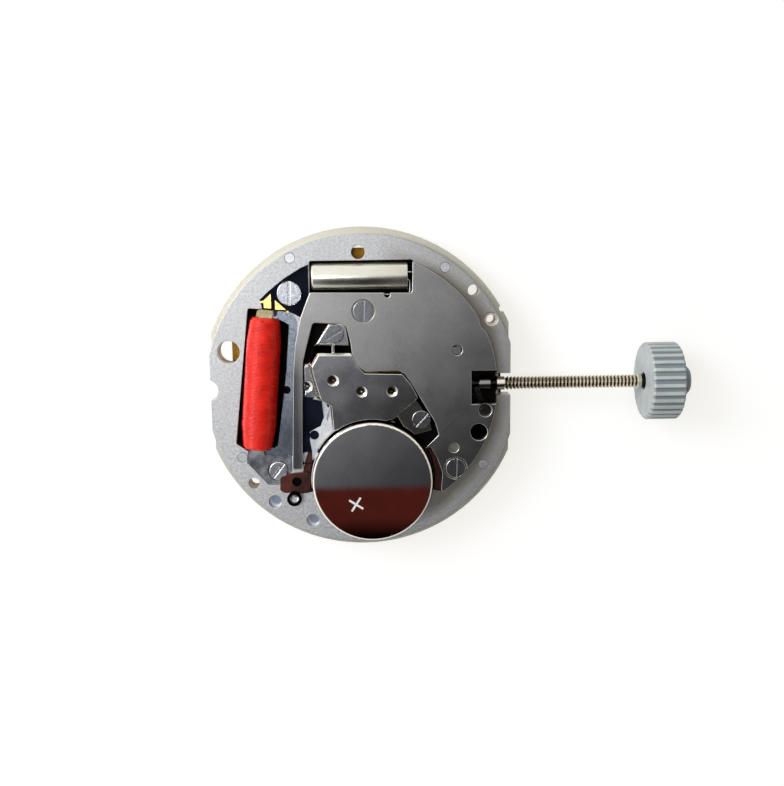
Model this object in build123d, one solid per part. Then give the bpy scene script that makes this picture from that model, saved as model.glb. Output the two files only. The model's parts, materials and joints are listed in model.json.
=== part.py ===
from build123d import *
import os
from math import atan2, cos, degrees, hypot, pi, radians, sin, tan

# A quartz watch movement, seen from its battery side, with its setting stem and
# a knob on the stem. +Z points to the battery side. The origin is the centre of
# the hands, on the face that the dial rests on. The stem lies along +X.
# All lengths are millimetres. Values named share are parts of the length they follow.

# Main plate
plate_radius = 10.2
flange_step = 0.45
flange_radius = plate_radius + flange_step
flange_height = 0.45
plate_top = 1.5
right_flat_inset = 0.45
right_flat = plate_radius - right_flat_inset
left_flat_inset = 0.3
left_flat = plate_radius - left_flat_inset
web_bottom = 0.72
web_top = 0.95
scallop_radius = 0.7
rim_nick = 0.22

# Dial side sheet
sheet_inset = 0.9
sheet_radius = plate_radius - sheet_inset
sheet_thickness = 0.13
sheet_flat_inset = 1.3
sheet_flat = left_flat - sheet_flat_inset

# Battery
cell_share = 0.3872549
cell_radius = plate_radius * cell_share
cell_height = 2.1
cell_bottom = 0.5
cell_wall = 0.16
cell_edge = 0.16
least_corner = 0.008
seal_width = 0.75
cap_radius = cell_radius - seal_width
gasket_height = 1.1
plus_length = 1.1
plus_drop = 1.48
plus_aside = 1.11
plus_turn = -33
strip_gap = 0.29
contact_reach = cell_radius + strip_gap
contact_turn = 145
right_lining = (-12, 30)
left_lining = (150, 192)
blade_sector = (152, 187)
plus_width = 0.14
engraving = 0.03
pocket_floor = 0.42
pocket_gap = 0.1
lift_out_gap = 0.03

# Battery insulator and contacts
lining_gap = 0.21
lining_inner = cell_radius + lining_gap
lining_wall = 0.44
lining_outer = lining_inner + lining_wall
lining_top = 1.46
film_thickness = 0.08
contact_thickness = 0.07
contact_width = 0.8
clip_thickness = 0.12
blade_top = 1.95
blade_bottom = 0.8
tab_thickness = 0.26
tab_hole = 0.32
clip_hole = 0.31

# Covers and boards
cover_bottom = 1.65
cover_thickness = 0.25
ring_width = 1.48
cover_radius = plate_radius - ring_width
cover_corner = 0.16
land_inset = 0.14
cover_bite = 0.36
cover_nick = 0.2
recess_radius = 0.55
board_hole = 0.4
stator_mark = 0.27
board_thickness = 0.12
pad_thickness = 0.02
window_left = 7.16
window_right = 8.86
window_low = -0.94
window_high = 1.26

# Train bridge
bridge_bottom = 1.7
bridge_top = 2.05
shelf_top = 1.92
tongue_bottom = 1.42
tongue_top = 1.62
bridge_bevel = 0.16
groove_width = 0.12
groove_floor = 1.74
link_width = 0.16
sink_radius = 0.36
sink_depth = 0.2
bridge_gap = 0.12
tongue_post = 0.55

# Gear train, teeth and places
rotor_leaves = 8
middle_teeth = 48
middle_leaves = 8
second_teeth = 40
second_leaves = 8
third_teeth = 60
third_leaves = 8
centre_teeth = 64
cannon_leaves = 12
minute_teeth = 36
minute_leaves = 10
hour_teeth = 40
setting_teeth = 20
wheel_thickness = 0.1
third_wheel_bottom = 1.02
middle_wheel_bottom = 1.27
second_wheel_bottom = 1.47
centre_wheel_bottom = 0.55
minute_wheel_bottom = 0.36
hour_wheel_bottom = 0.18
leaf_overlap = 0.04
wheel_clearance = 0.06
pivot_radius = 0.06
arbor_radius = 0.12
pivot_clearance = 0.015
pivot_end = 1.98
shoulder_gap = 0.02
minute_arm = 2.4
minute_bearing = 35
post_radius = 0.2
hub_radius = 0.45
pivot_foot = 0.8
tooth_tip_share = 0.9
tooth_root_share = 1.1
tip_half_share = 0.11
root_half_share = 0.3

# Hands' arbors, one inside the other
second_radius = 0.1
second_tip = -1.55
minute_radius = 0.35
minute_tip = -1.2
hour_radius = 0.6
hour_collar = 0.8
hour_tip = -0.8
tube_inner = 0.12
tube_outer = 0.18
tube_tip = -0.95
running_gap = 0.03
collar_radius = 0.3

# Rotor, stator and coil
magnet_radius = 0.5
magnet_bottom = 0.98
magnet_top = 1.18
stator_hole = 0.64
stator_thickness = 0.25
core_bottom = 1.2
core_thickness = 0.3
core_width = 0.9
core_reach = 0.25
coil_radius = 0.93
coil_taper = 0.3
wire_radius = 0.06
wire_pitch = 0.54
wire_gap = 0.005

# Quartz crystal
crystal_radius = 0.93
crystal_left = -3.14
crystal_right = 3.07
crystal_rest = 0.02
crystal_edge = 0.14
lead_radius = 0.06
lead_bend = 0.12
lead_spread = 0.25
lead_reach = 0.27

# Stem, knob and setting parts
stem_height = 0.95
stem_line = 0.3
pilot_radius = 0.25
pilot_start = 4.3
square_start = 5.4
square_side = 0.6
square_end = 7.2
neck_radius = 0.25
groove_centre = 7.56
groove_length = 0.4
collar_end = 8.45
wall_left = 8.86
wall_right = 9.04
journal_radius = 0.45
thread_start = 9.4
thread_end = 18.24
thread_radius = 0.46
thread_pitch = 0.24
thread_depth = 0.11
knob_left = 18.67
knob_right = 20.8
knob_radius = 2.55
knob_ribs = 30
rib_shares = ((1, -0.3), (0, -0.2), (0, 0.2), (1, 0.3))
rib_depth = 0.16
knob_bevel = 0.12
knob_mouth = 0.575
mouth_depth = 0.35
boss_radius = 1.0
boss_length = 0.8
boss_bevel = 0.2
stem_in_knob = 1.5
notch_half = 0.73
pinion_left = 6.05
pinion_right = 6.95
pinion_radius = 0.62
pinion_teeth = 14
pinion_groove_left = 6.6
pinion_groove_right = 6.82
pinion_groove_radius = 0.38
lever_bottom = 0.17
lever_top = 0.37
lever_pin = 0.33
lever_hub = 0.5
lever_arm = 0.4
lever_tip = 0.22
lever_peg = 0.15
lever_peg_top = 0.66
lever_ring = 0.42
spring_width = 0.3
key_pocket_floor = 0.25
dial_room_top = 0.52
sheet_screw_end = 0.65
foot_wall = 0.25
yoke_bottom = 0.85
yoke_top = 1.05
yoke_width = 0.42

# Screws: head radius, head height, shank radius, slot width, slot depth
head_height = 0.2
shank_radius = 0.3
slot_width = 0.17
slot_depth = 0.12
cover_slots = 88
lug_slot = 30
tongue_slot = 47
foot_slot = 53
board_slot = 88
cover_head = 0.66
bridge_head = 0.62
board_head = 0.79
sheet_head = 0.42
shank_end = 0.78
head_clearance = 0.07
sink_in_cover = 0.15

# Small holes and studs in the plate
big_hole = 0.74
top_hole = 0.44
foot_bore = 0.37
ringed_hole = 0.3
ringed_step = 0.46
dimple_radius = 0.42
dimple_depth = 0.3
stud_radius = 0.34
stud_rise = 0.02
tube_rivet = 0.49
tube_rivet_bore = 0.28
tube_rivet_top = 1.85

overrun = 0.5
base = (Align.CENTER, Align.CENTER, Align.MIN)

# Places, as shares of the plate's radius
middle_place_share = (-0.179, 0.075)
third_place_share = (0.191, 0)
rotor_place_share = (-0.348, 0.038)
cell_place_share = (0.059, -0.578)
lug_screw_share = (-0.168, 0.372)
tongue_screw_share = (0.378, -0.19)
cover_screw_shares = ((0.017, 0.515), (0.598, -0.509))
foot_screw_share = (-0.553, -0.518)
board_screw_share = (-0.448, 0.631)
sheet_screw_shares = ((-0.15, 0.51), (0.6, 0.33), (-0.62, -0.505))
cover_rivet_share = (0.61, 0.258)
cover_hole_share = (0.587, -0.375)
cover_recess_share = (0.749, -0.275)
lever_place_share = (0.79, -0.133)
spring_foot_share = (0.715, -0.33)
spring_tip_share = (0.785, -0.192)
yoke_pivot_share = (0.575, 0.225)
yoke_tip_share = (0.658, 0.081)
big_hole_share = (-0.847, 0.262)
top_hole_share = (-0.009, 0.883)
foot_shares = ((0.718, 0.634), (-0.713, -0.598))
ringed_hole_share = (0.832, 0.448)
dimple_shares = ((-0.58, -0.723), (-0.335, -0.855))
stud_shares = ((-0.439, 0.852), (0.54, 0.781), (-0.783, -0.425), (0.782, -0.497))
tube_rivet_share = (-0.452, -0.7)
clip_hole_share = (-0.312, -0.28)
tab_hole_share = (-0.432, -0.588)
board_hole_share = (-0.363, -0.432)
scallop_share = (-0.99, 0.016)
nick_share = (0.915, 0.51)
cover_centre_share = (0.015, 0.025)
coil_top_share = (-0.607, 0.477)
coil_low_share = (-0.684, -0.368)
crystal_axis_share = 0.729
lead_end_share = 0.597
stator_mark_share = (-0.487, 0.009)
link_share = (-0.187, 0.27)
groove_shares = ((-0.27, -0.06), (-0.342, 0.19))
land_corner_share = (0.06, 0.45)
crystal_pocket_shares = ((-0.32, 0.62), (0.338, 0.832))
cover_nick_share = (0.17, 0.617)
chip_shares = ((-0.255, 0.475), (-0.1, 0.6))

# Outlines, as shares of the plate's radius
cover_outline_share = (
    (-0.318, 0.636), (0.327, 0.626), (0.334, 0.9), (0.9, 0.9), (0.9, -0.72),
    (0.5, -0.662), (0.511, -0.54), (0.476, -0.437), (0.434, -0.365), (0.391, -0.386),
    (0.489, -0.29), (0.467, -0.208), (0.315, 0.05), (0.276, 0.104), (0.239, 0.13),
    (0.025, 0.126), (-0.034, 0.167), (-0.053, 0.205), (-0.07, 0.33), (-0.093, 0.416),
    (-0.125, 0.434), (-0.292, 0.444), (-0.307, 0.431), (-0.371, 0.197),
    (-0.393, -0.5), (-0.458, -0.505), (-0.436, 0.115), (-0.419, 0.306), (-0.381, 0.477),
)
opening_outline_share = (
    (-0.385, 0.2), (-0.31, 0.445), (-0.1, 0.445), (-0.05, 0.22), (0.02, 0.14),
    (0.25, 0.14), (0.33, 0.05), (0.48, -0.2), (0.49, -0.29), (0.39, -0.4),
    (0.2, -0.2), (-0.19, -0.2), (-0.25, -0.02), (-0.385, -0.02),
)
lug_outline_share = ((-0.208, 0.433), (-0.294, 0.3), (-0.076, 0.294), (-0.096, 0.411), (-0.12, 0.433))
bridge_outline_share = (
    (-0.281, 0.252), (-0.063, 0.25), (-0.05, 0.21), (-0.03, 0.17), (0.02, 0.118),
    (0.26, 0.11), (0.312, 0.047), (0.36, -0.045), (0.2, -0.18), (-0.186, -0.25),
    (-0.188, -0.195), (-0.197, -0.088), (-0.268, -0.047), (-0.322, 0.18),
)
shelf_outline_share = ((-0.362, 0.182), (-0.322, 0.186), (-0.25, 0.1), (-0.25, -0.035), (-0.362, -0.02))
tongue_outline_share = ((0.2, -0.12), (0.3, 0.0), (0.435, -0.19), (0.45, -0.26), (0.3, -0.3))
board_outline_share = (
    (-0.636, 0.595), (-0.575, 0.65), (-0.484, 0.722), (-0.375, 0.789), (-0.326, 0.81),
    (-0.326, 0.617), (0.345, 0.612), (0.345, 0.575), (-0.085, 0.58), (-0.085, 0.456),
    (-0.3, 0.458), (-0.325, 0.43), (-0.39, 0.19), (-0.39, -0.03), (-0.262, -0.062),
    (-0.25, -0.18), (-0.24, -0.26), (-0.33, -0.4), (-0.335, -0.47), (-0.45, -0.48),
    (-0.43, 0.11), (-0.412, 0.31), (-0.384, 0.48), (-0.446, 0.513), (-0.62, 0.53),
)
pad_outline_shares = (
    ((-0.564, 0.632), (-0.563, 0.536), (-0.61, 0.541), (-0.612, 0.575),
     (-0.632, 0.573), (-0.633, 0.585), (-0.612, 0.587)),
    ((-0.539, 0.591), (-0.54, 0.53), (-0.468, 0.526)),
    ((-0.468, 0.522), (-0.455, 0.522), (-0.455, 0.508), (-0.468, 0.508)),
)
stator_outline_share = (
    (-0.6, 0.53), (-0.6, 0.475), (-0.51, 0.46), (-0.458, 0.43), (-0.483, 0.139),
    (-0.509, -0.056), (-0.554, -0.353), (-0.575, -0.37), (-0.69, -0.37), (-0.73, -0.43),
    (-0.6, -0.47), (-0.46, -0.42), (-0.44, -0.06), (-0.34, -0.065), (-0.262, 0.01),
    (-0.27, 0.1), (-0.37, 0.15), (-0.42, 0.2), (-0.405, 0.45), (-0.45, 0.53),
)
foot_outline_share = (
    (-0.742, -0.382), (-0.648, -0.384), (-0.637, -0.415), (-0.467, -0.418), (-0.465, -0.527),
    (-0.538, -0.553), (-0.543, -0.608), (-0.619, -0.606), (-0.75, -0.459),
)
head_tab_outline_share = ((-0.665, 0.486), (-0.655, 0.525), (-0.6, 0.545), (-0.53, 0.52), (-0.54, 0.486))
coil_pocket_share = (
    (-0.715, 0.541), (-0.45, 0.515), (-0.47, 0.14), (-0.497, -0.055),
    (-0.545, -0.38), (-0.745, -0.385), (-0.82, -0.335),
)
clip_outline_share = (
    (-0.207, -0.083), (-0.203, -0.12), (-0.197, -0.2), (-0.19, -0.25), (-0.24, -0.3),
    (-0.29, -0.365), (-0.306, -0.43), (-0.328, -0.443), (-0.33, -0.382), (-0.34, -0.32),
    (-0.34, -0.26), (-0.308, -0.24), (-0.27, -0.222), (-0.253, -0.178),
)
clip_slit_share = ((-0.209, -0.105), (-0.214, -0.15), (-0.222, -0.19), (-0.232, -0.18), (-0.222, -0.14))
tab_outline_share = (
    (-0.54, -0.557), (-0.468, -0.532), (-0.364, -0.525), (-0.324, -0.552),
    (-0.36, -0.646), (-0.393, -0.667), (-0.514, -0.66), (-0.543, -0.642),
)
key_pocket_shares = ((0.53, -0.042), (0.71, 0.101))


def spot(place_share):
    """Turn a place given in shares of the plate's radius into millimetres."""
    return (place_share[0] * plate_radius, place_share[1] * plate_radius)


def heading(start, end):
    """Angle in degrees of the line from one place to another."""
    return degrees(atan2(end[1] - start[1], end[0] - start[0]))


def apart(start, end):
    """Distance between two places."""
    return hypot(end[0] - start[0], end[1] - start[1])


def pin(radius, low, high, place=(0, 0)):
    """Upright cylinder between two heights."""
    return Pos(place[0], place[1], low) * Cylinder(radius, high - low, align=base)


def ring(outer, inner, low, high, place=(0, 0)):
    """Upright tube between two heights."""
    return pin(outer, low, high, place) - pin(inner, low - overrun, high + overrun, place)


def block(left, right, front, back, low, high):
    """Box between three pairs of limits."""
    corner = (Align.MIN, Align.MIN, Align.MIN)
    return Pos(left, front, low) * Box(right - left, back - front, high - low, align=corner)


def slab(face, low, high):
    """Flat face made solid between two heights."""
    return extrude(Pos(0, 0, low) * face, amount=high - low, dir=(0, 0, 1))


def rounded(points, corner):
    """Face whose corners are rounded as far as their sides allow."""
    side_share = 0.4
    radii = []
    count = len(points)
    for index in range(count):
        here = Vector(*points[index])
        back = Vector(*points[index - 1]) - here
        onward = Vector(*points[(index + 1) % count]) - here
        half = radians(back.get_angle(onward)) / 2
        room = side_share * min(back.length, onward.length)
        radii.append(min(corner, room * tan(half)))
    return make_face(FilletPolyline(*points, radius=radii, close=True))


def plan(outline_share, corner=least_corner):
    """Face of an outline given in shares of the plate's radius."""
    return rounded([spot(point) for point in outline_share], corner)


def along_x(solid, x, y=0):
    """Turn an upright solid to lie along +X on the stem's line."""
    return Pos(x, y + stem_line, stem_height) * Rot(0, 90, 0) * solid


def save(node, shape):
    """Write one node's solids."""
    export_step(shape, f"parts/{node}.step")


# Places worked out from the shares
middle_place = spot(middle_place_share)
third_place = spot(third_place_share)
rotor_place = spot(rotor_place_share)
cell_place = spot(cell_place_share)
lever_place = spot(lever_place_share)
minute_place = (minute_arm * cos(radians(minute_bearing)), minute_arm * sin(radians(minute_bearing)))
setting_arm = minute_arm / (cannon_leaves + minute_teeth) * (minute_teeth + setting_teeth)
setting_place = (minute_place[0] + (setting_arm**2 - minute_place[1] ** 2) ** 0.5, 0)
centre = (0, 0)


# Gears
def gear_face(teeth, module, tooth_at=0):
    """Outline of a wheel with straight sided teeth, one of them centred on an angle."""
    tip = module * (teeth / 2 + tooth_tip_share)
    root = module * (teeth / 2 - tooth_root_share)
    points = []
    for tooth in range(teeth):
        for radius, side_share in (
            (root, -root_half_share),
            (tip, -tip_half_share),
            (tip, tip_half_share),
            (root, root_half_share),
        ):
            angle = radians(tooth_at + (tooth + side_share) * 360 / teeth)
            points.append((radius * cos(angle), radius * sin(angle)))
    return make_face(Polyline(*points, close=True))


def gear(teeth, module, low, high, place, tooth_at=0):
    """Toothed disc between two heights."""
    return Pos(place[0], place[1], low) * extrude(gear_face(teeth, module, tooth_at), high - low)


def tip_radius(teeth, module):
    """Outer radius of a wheel."""
    return module * (teeth / 2 + tooth_tip_share)


def meshing(teeth, start, partner):
    """Angle of a tooth such that a gap points at the wheel's partner."""
    return heading(start, partner) + 180 / teeth


def module_between(first_teeth, second_teeth, start, end):
    """Tooth module that lets two wheels on these places mesh."""
    return 2 * apart(start, end) / (first_teeth + second_teeth)


rotor_module = module_between(rotor_leaves, middle_teeth, rotor_place, middle_place)
second_module = module_between(middle_leaves, second_teeth, middle_place, centre)
third_module = module_between(second_leaves, third_teeth, centre, third_place)
centre_module = module_between(third_leaves, centre_teeth, third_place, centre)
minute_module = module_between(cannon_leaves, minute_teeth, centre, minute_place)
hour_module = module_between(minute_leaves, hour_teeth, minute_place, centre)


def rotor_magnet():
    """Round magnet on the rotor's shaft."""
    return ring(magnet_radius, arbor_radius, magnet_bottom, magnet_top, rotor_place)


def rotor_pinion():
    """Rotor's shaft, with pivots and its pinion."""
    low = middle_wheel_bottom - leaf_overlap
    high = middle_wheel_bottom + wheel_thickness + leaf_overlap
    leaves = gear(rotor_leaves, rotor_module, low, high, rotor_place,
                  meshing(rotor_leaves, rotor_place, middle_place))
    shaft = pin(arbor_radius, magnet_bottom, bridge_bottom - shoulder_gap, rotor_place)
    pivot = pin(pivot_radius, pivot_foot, shelf_top - sink_depth / 2, rotor_place)
    return shaft + leaves + pivot


def intermediate_wheel():
    """Wheel that the rotor drives, with its pinion for the second wheel."""
    low = middle_wheel_bottom
    wheel = gear(middle_teeth, rotor_module, low, low + wheel_thickness, middle_place,
                 heading(middle_place, rotor_place))
    leaves = gear(middle_leaves, second_module, second_wheel_bottom - leaf_overlap,
                  second_wheel_bottom + wheel_thickness + leaf_overlap, middle_place,
                  meshing(middle_leaves, middle_place, centre))
    shaft = pin(arbor_radius, web_top + shoulder_gap, bridge_bottom - shoulder_gap, middle_place)
    pivot = pin(pivot_radius, pivot_foot, pivot_end, middle_place)
    return wheel + leaves + shaft + pivot


def second_wheel():
    """Wheel that turns once a minute, pressed on the second hand's arbor."""
    low = second_wheel_bottom
    wheel = gear(second_teeth, second_module, low, low + wheel_thickness, centre,
                 heading(centre, middle_place))
    return wheel - pin(arbor_radius, low - overrun, low + overrun)


def second_arbor():
    """Long arbor of the second hand, with the pinion that drives the third wheel."""
    low = third_wheel_bottom - leaf_overlap
    high = third_wheel_bottom + wheel_thickness + leaf_overlap
    leaves = gear(second_leaves, third_module, low, high, centre,
                  meshing(second_leaves, centre, third_place))
    shaft = pin(second_radius, second_tip, web_top + shoulder_gap)
    seat = pin(arbor_radius, web_top + shoulder_gap, bridge_bottom - shoulder_gap)
    return shaft + seat + leaves + pin(pivot_radius, bridge_bottom - overrun, pivot_end)


def third_wheel():
    """Wheel between the second wheel and the centre wheel, with its pinion below the web."""
    low = third_wheel_bottom
    wheel = gear(third_teeth, third_module, low, low + wheel_thickness, third_place,
                 heading(third_place, centre))
    leaves = gear(third_leaves, centre_module, centre_wheel_bottom - leaf_overlap / 2,
                  web_bottom - shoulder_gap, third_place,
                  meshing(third_leaves, third_place, centre))
    shaft = pin(arbor_radius, centre_wheel_bottom, bridge_bottom - shoulder_gap, third_place)
    return wheel + leaves + shaft + pin(pivot_radius, web_top, pivot_end, third_place)


def centre_wheel():
    """Wheel that carries the minute hand's pipe."""
    low = centre_wheel_bottom
    wheel = gear(centre_teeth, centre_module, low, low + wheel_thickness, centre,
                 heading(centre, third_place))
    return wheel - pin(collar_radius, low - overrun, low + overrun)


def cannon_pinion():
    """Minute hand's pipe, with the pinion that drives the minute wheel."""
    low = minute_wheel_bottom - leaf_overlap / 2
    high = centre_wheel_bottom
    leaves = gear(cannon_leaves, minute_module, low, high - shoulder_gap, centre,
                  meshing(cannon_leaves, centre, minute_place))
    pipe = pin(minute_radius, minute_tip, high) + leaves
    pipe += pin(collar_radius, minute_tip, high + wheel_thickness)
    bore = tube_outer + running_gap
    return pipe - pin(bore, minute_tip - overrun, high + overrun)


def minute_wheel():
    """Wheel beside the centre that gears the hour wheel down, with its pinion."""
    low = minute_wheel_bottom
    wheel = gear(minute_teeth, minute_module, low, low + wheel_thickness, minute_place,
                 heading(minute_place, centre))
    leaves = gear(minute_leaves, hour_module, sheet_thickness + shoulder_gap, low,
                  minute_place, meshing(minute_leaves, minute_place, centre))
    bore = pin(post_radius + running_gap, -overrun, low + overrun, minute_place)
    return wheel + leaves - bore


def hour_wheel():
    """Hour hand's pipe and its wheel."""
    low = hour_wheel_bottom
    wheel = gear(hour_teeth, hour_module, low, low + wheel_thickness, centre,
                 heading(centre, minute_place))
    pipe = pin(hour_radius, hour_tip, low) + pin(hour_collar, 0, low + wheel_thickness)
    bore = pin(minute_radius + running_gap, hour_tip - overrun, low + overrun)
    return wheel + pipe - bore


def setting_wheel():
    """Wheel between the sliding pinion and the minute wheel."""
    swing = heading(minute_place, setting_place) - heading(minute_place, centre)
    teeth_turned = swing * minute_teeth / 360
    back = heading(setting_place, minute_place)
    tooth_at = back + (1 / 2 - teeth_turned % 1) * 360 / setting_teeth
    wheel = gear(setting_teeth, minute_module, minute_wheel_bottom,
                 minute_wheel_bottom + wheel_thickness, setting_place, tooth_at)
    hub = pin(hub_radius, sheet_thickness + shoulder_gap, minute_wheel_bottom, setting_place)
    bore = pin(post_radius + running_gap, -overrun, minute_wheel_bottom + overrun, setting_place)
    return wheel + hub - bore


# Screws
def screw(place, head_radius, seat, slot_angle):
    """Slotted screw whose head rests at a height, with a plain shank below it."""
    top = seat + head_height
    head = pin(head_radius, seat, top, place)
    head = chamfer(head.edges().group_by(Axis.Z)[-1], slot_depth / 3)
    slot = block(-head_radius, head_radius, -slot_width / 2, slot_width / 2, top - slot_depth, top + overrun)
    slot = Pos(place[0], place[1], 0) * Rot(0, 0, slot_angle) * slot
    return head + pin(shank_radius, shank_end, seat, place) - slot


def sheet_screw(place):
    """Small screw put in from the dial side, its head flush with the sheet."""
    head = pin(sheet_head, 0, head_height / 2, place)
    slot = block(-sheet_head, sheet_head, -slot_width / 2, slot_width / 2, -overrun, slot_depth / 2)
    shank = pin(shank_radius, head_height / 2, sheet_screw_end, place)
    return head + shank - Pos(place[0], place[1], 0) * slot


cover_seat = cover_bottom + cover_thickness - sink_in_cover
foot_seat = core_bottom + core_thickness - head_height + stud_rise


# Main plate and the sheet under it
def sheet_blank(gap, low, high):
    """Round sheet of the dial side, cut off at the left, with room for a dial foot."""
    sheet = pin(sheet_radius + gap, low, high)
    edge = (-flange_radius, -sheet_flat - gap)
    sheet -= block(*edge, -flange_radius, flange_radius, low - overrun, high + overrun)
    return sheet - pin(foot_bore + foot_wall - gap, low - overrun, high + overrun, spot(foot_shares[1]))


def key_pocket(low, high):
    """Room for the stem, the sliding pinion and the setting lever's window."""
    left, front = spot(key_pocket_shares[0])
    right, back = spot(key_pocket_shares[1])
    room = block(left, right, front, back, low, high)
    return room + block(window_left, window_right, window_low, window_high, sheet_thickness, high)


def cell_pocket(gap, low, high):
    """Round room for the battery."""
    return pin(cell_radius + gap, low, high, cell_place)


def sector(start, end, reach, low, high):
    """Wedge about the battery's axis between two angles."""
    points = [cell_place]
    for angle in (start, (start + end) / 2, end):
        across = reach * cos(radians(angle))
        along = reach * sin(radians(angle))
        points.append((cell_place[0] + across, cell_place[1] + along))
    return slab(make_face(Polyline(*points, close=True)), low, high)


def lining(outer, inner, low, high):
    """The two curved walls of the battery's lining."""
    wall = ring(outer, inner, low, high, cell_place)
    reach = lining_outer + lining_outer
    walls = wall & sector(right_lining[0], right_lining[1], reach, low, high)
    return walls + (wall & sector(left_lining[0], left_lining[1], reach, low, high))


def wheel_rooms():
    """Round rooms for the wheels on both sides of the web."""
    rooms = []
    hour_room_top = hour_wheel_bottom + wheel_thickness + wheel_clearance
    for teeth, module, low, high, place in (
        (second_teeth, second_module, web_top, cover_bottom, centre),
        (third_teeth, third_module, web_top, cover_bottom, third_place),
        (middle_teeth, rotor_module, web_top, cover_bottom, middle_place),
        (centre_teeth, centre_module, sheet_thickness, web_bottom, centre),
        (third_leaves, centre_module, sheet_thickness, web_bottom, third_place),
        (minute_teeth, minute_module, sheet_thickness, dial_room_top, minute_place),
        (setting_teeth, minute_module, sheet_thickness, dial_room_top, setting_place),
        (hour_teeth, hour_module, sheet_thickness, hour_room_top, centre),
    ):
        rooms.append(pin(tip_radius(teeth, module) + wheel_clearance, low, high, place))
    return rooms


def grown(outline_share, gap, low, high, corner=cover_corner):
    """Outline widened by a gap, as a solid."""
    return slab(offset(plan(outline_share, corner), gap), low, high)


def plate_edge():
    """Plate with its rim, before anything is cut into its faces."""
    plate = pin(plate_radius, 0, plate_top) + pin(flange_radius, 0, flange_height)
    plate &= block(-left_flat, right_flat, -flange_radius, flange_radius, -overrun, plate_top + overrun)
    plate -= pin(scallop_radius, -overrun, plate_top + overrun, spot(scallop_share))
    plate -= pin(rim_nick, -overrun, plate_top + overrun, spot(nick_share))
    return plate


def cover_land():
    """Raised part of the plate that the module cover rests on."""
    land = pin(cover_radius - land_inset, plate_top, cover_bottom, spot(cover_centre_share))
    left, back = spot(land_corner_share)
    land &= block(left, flange_radius, spot(cover_outline_share[5])[1], back, plate_top, cover_bottom)
    post = pin(cover_head, plate_top, cover_bottom, spot(cover_screw_shares[0]))
    return land - pin(ringed_step + land_inset, plate_top, cover_bottom, spot(ringed_hole_share)) + post


def crystal_room(gap, low, high):
    """Room for the crystal's can."""
    left, front = spot(crystal_pocket_shares[0])
    right, back = spot(crystal_pocket_shares[1])
    corners = ((left, front), (right, front), (right, back), (left, back))
    return slab(rounded(corners, crystal_edge), low, high)


def main_plate():
    """Nickelled plate that carries everything."""
    through = (-overrun, plate_top + overrun)
    plate = plate_edge() + cover_land()
    plate -= slab(plan(opening_outline_share, cover_corner), web_top, cover_bottom)
    for room in wheel_rooms():
        plate -= room
    plate -= key_pocket(key_pocket_floor, cover_bottom)
    plate -= cell_pocket(pocket_gap, pocket_floor, cover_bottom)
    plate -= lining(lining_outer + running_gap, lining_inner - pocket_gap, pocket_floor, cover_bottom)
    plate -= slab(plan(coil_pocket_share, cover_corner), *through)
    plate -= crystal_room(0, *through)
    plate -= grown(stator_outline_share, running_gap, web_top, plate_top + overrun)
    plate -= grown(foot_outline_share, running_gap, core_bottom, plate_top + overrun)
    plate -= grown(head_tab_outline_share, running_gap, core_bottom, plate_top + overrun)
    plate += slab(plan(lug_outline_share), web_bottom, bridge_bottom)
    plate += pin(tongue_post, web_bottom, tongue_bottom, spot(tongue_screw_share))
    plate += pin(post_radius, sheet_thickness, dial_room_top, minute_place)
    plate += pin(post_radius, sheet_thickness, dial_room_top, setting_place)
    plate -= sheet_blank(running_gap, -overrun, sheet_thickness)
    for cut in plate_cuts():
        plate -= cut
    return plate


def plate_cuts():
    """Small holes, slots and seats in the plate."""
    through = (-overrun, cover_bottom + overrun)
    notch = (stem_line - notch_half, stem_line + notch_half)
    bearing = Cylinder(journal_radius + running_gap, wall_right - wall_left + overrun)
    cuts = [
        block(wall_right, flange_radius, *notch, *through),
        block(wall_left, wall_right, *notch, stem_height, cover_bottom + overrun),
        along_x(bearing, (wall_left + wall_right) / 2),
        along_x(Cylinder(pilot_radius + pivot_clearance, square_start - pilot_start + overrun),
                (pilot_start + square_start) / 2),
        pin(tube_outer, *through),
        pin(pivot_radius + pivot_clearance, pivot_foot - shoulder_gap, web_top + overrun, rotor_place),
        pin(pivot_radius + pivot_clearance, pivot_foot - shoulder_gap, web_top + overrun, middle_place),
        pin(arbor_radius + pivot_clearance, web_bottom - overrun, web_top + overrun, third_place),
        pin(big_hole, *through, spot(big_hole_share)),
        pin(top_hole, *through, spot(top_hole_share)),
        pin(ringed_hole, *through, spot(ringed_hole_share)),
        pin(ringed_step, plate_top - dimple_depth / 2, plate_top + overrun, spot(ringed_hole_share)),
        pin(recess_radius, web_top, cover_bottom + overrun, spot(cover_recess_share)),
        pin(lever_pin + running_gap, *through, lever_place),
        pin(tube_rivet_bore + running_gap, web_top, plate_top + overrun, spot(tube_rivet_share)),
        pin(bridge_head + head_clearance, foot_seat, plate_top + overrun, spot(foot_screw_share)),
    ]
    for place_share in foot_shares:
        cuts.append(pin(foot_bore, *through, spot(place_share)))
    for place_share in dimple_shares:
        cuts.append(pin(dimple_radius, plate_top - dimple_depth, plate_top + overrun, spot(place_share)))
    for place_share in stud_shares:
        cuts.append(pin(stud_radius, web_top, plate_top + overrun, spot(place_share)))
    top_screws = cover_screw_shares + (lug_screw_share, tongue_screw_share)
    top_screws += (foot_screw_share, board_screw_share)
    for place_share in top_screws:
        cuts.append(pin(shank_radius, shank_end - shoulder_gap, cover_bottom + overrun, spot(place_share)))
    for place_share in sheet_screw_shares:
        cuts.append(pin(shank_radius, -overrun, sheet_screw_end + shoulder_gap, spot(place_share)))
    cuts.append(chip(running_gap, plate_top + overrun))
    cuts.append(lever_room())
    cuts.append(spring_shape(running_gap, sheet_thickness, lever_top + running_gap))
    cuts.append(yoke_shape(running_gap, yoke_bottom - running_gap, cover_bottom + overrun))
    cuts.append(riser(running_gap))
    cuts += [lead(side, lead_radius + running_gap) for side in (-1, 1)]
    return cuts


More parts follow.
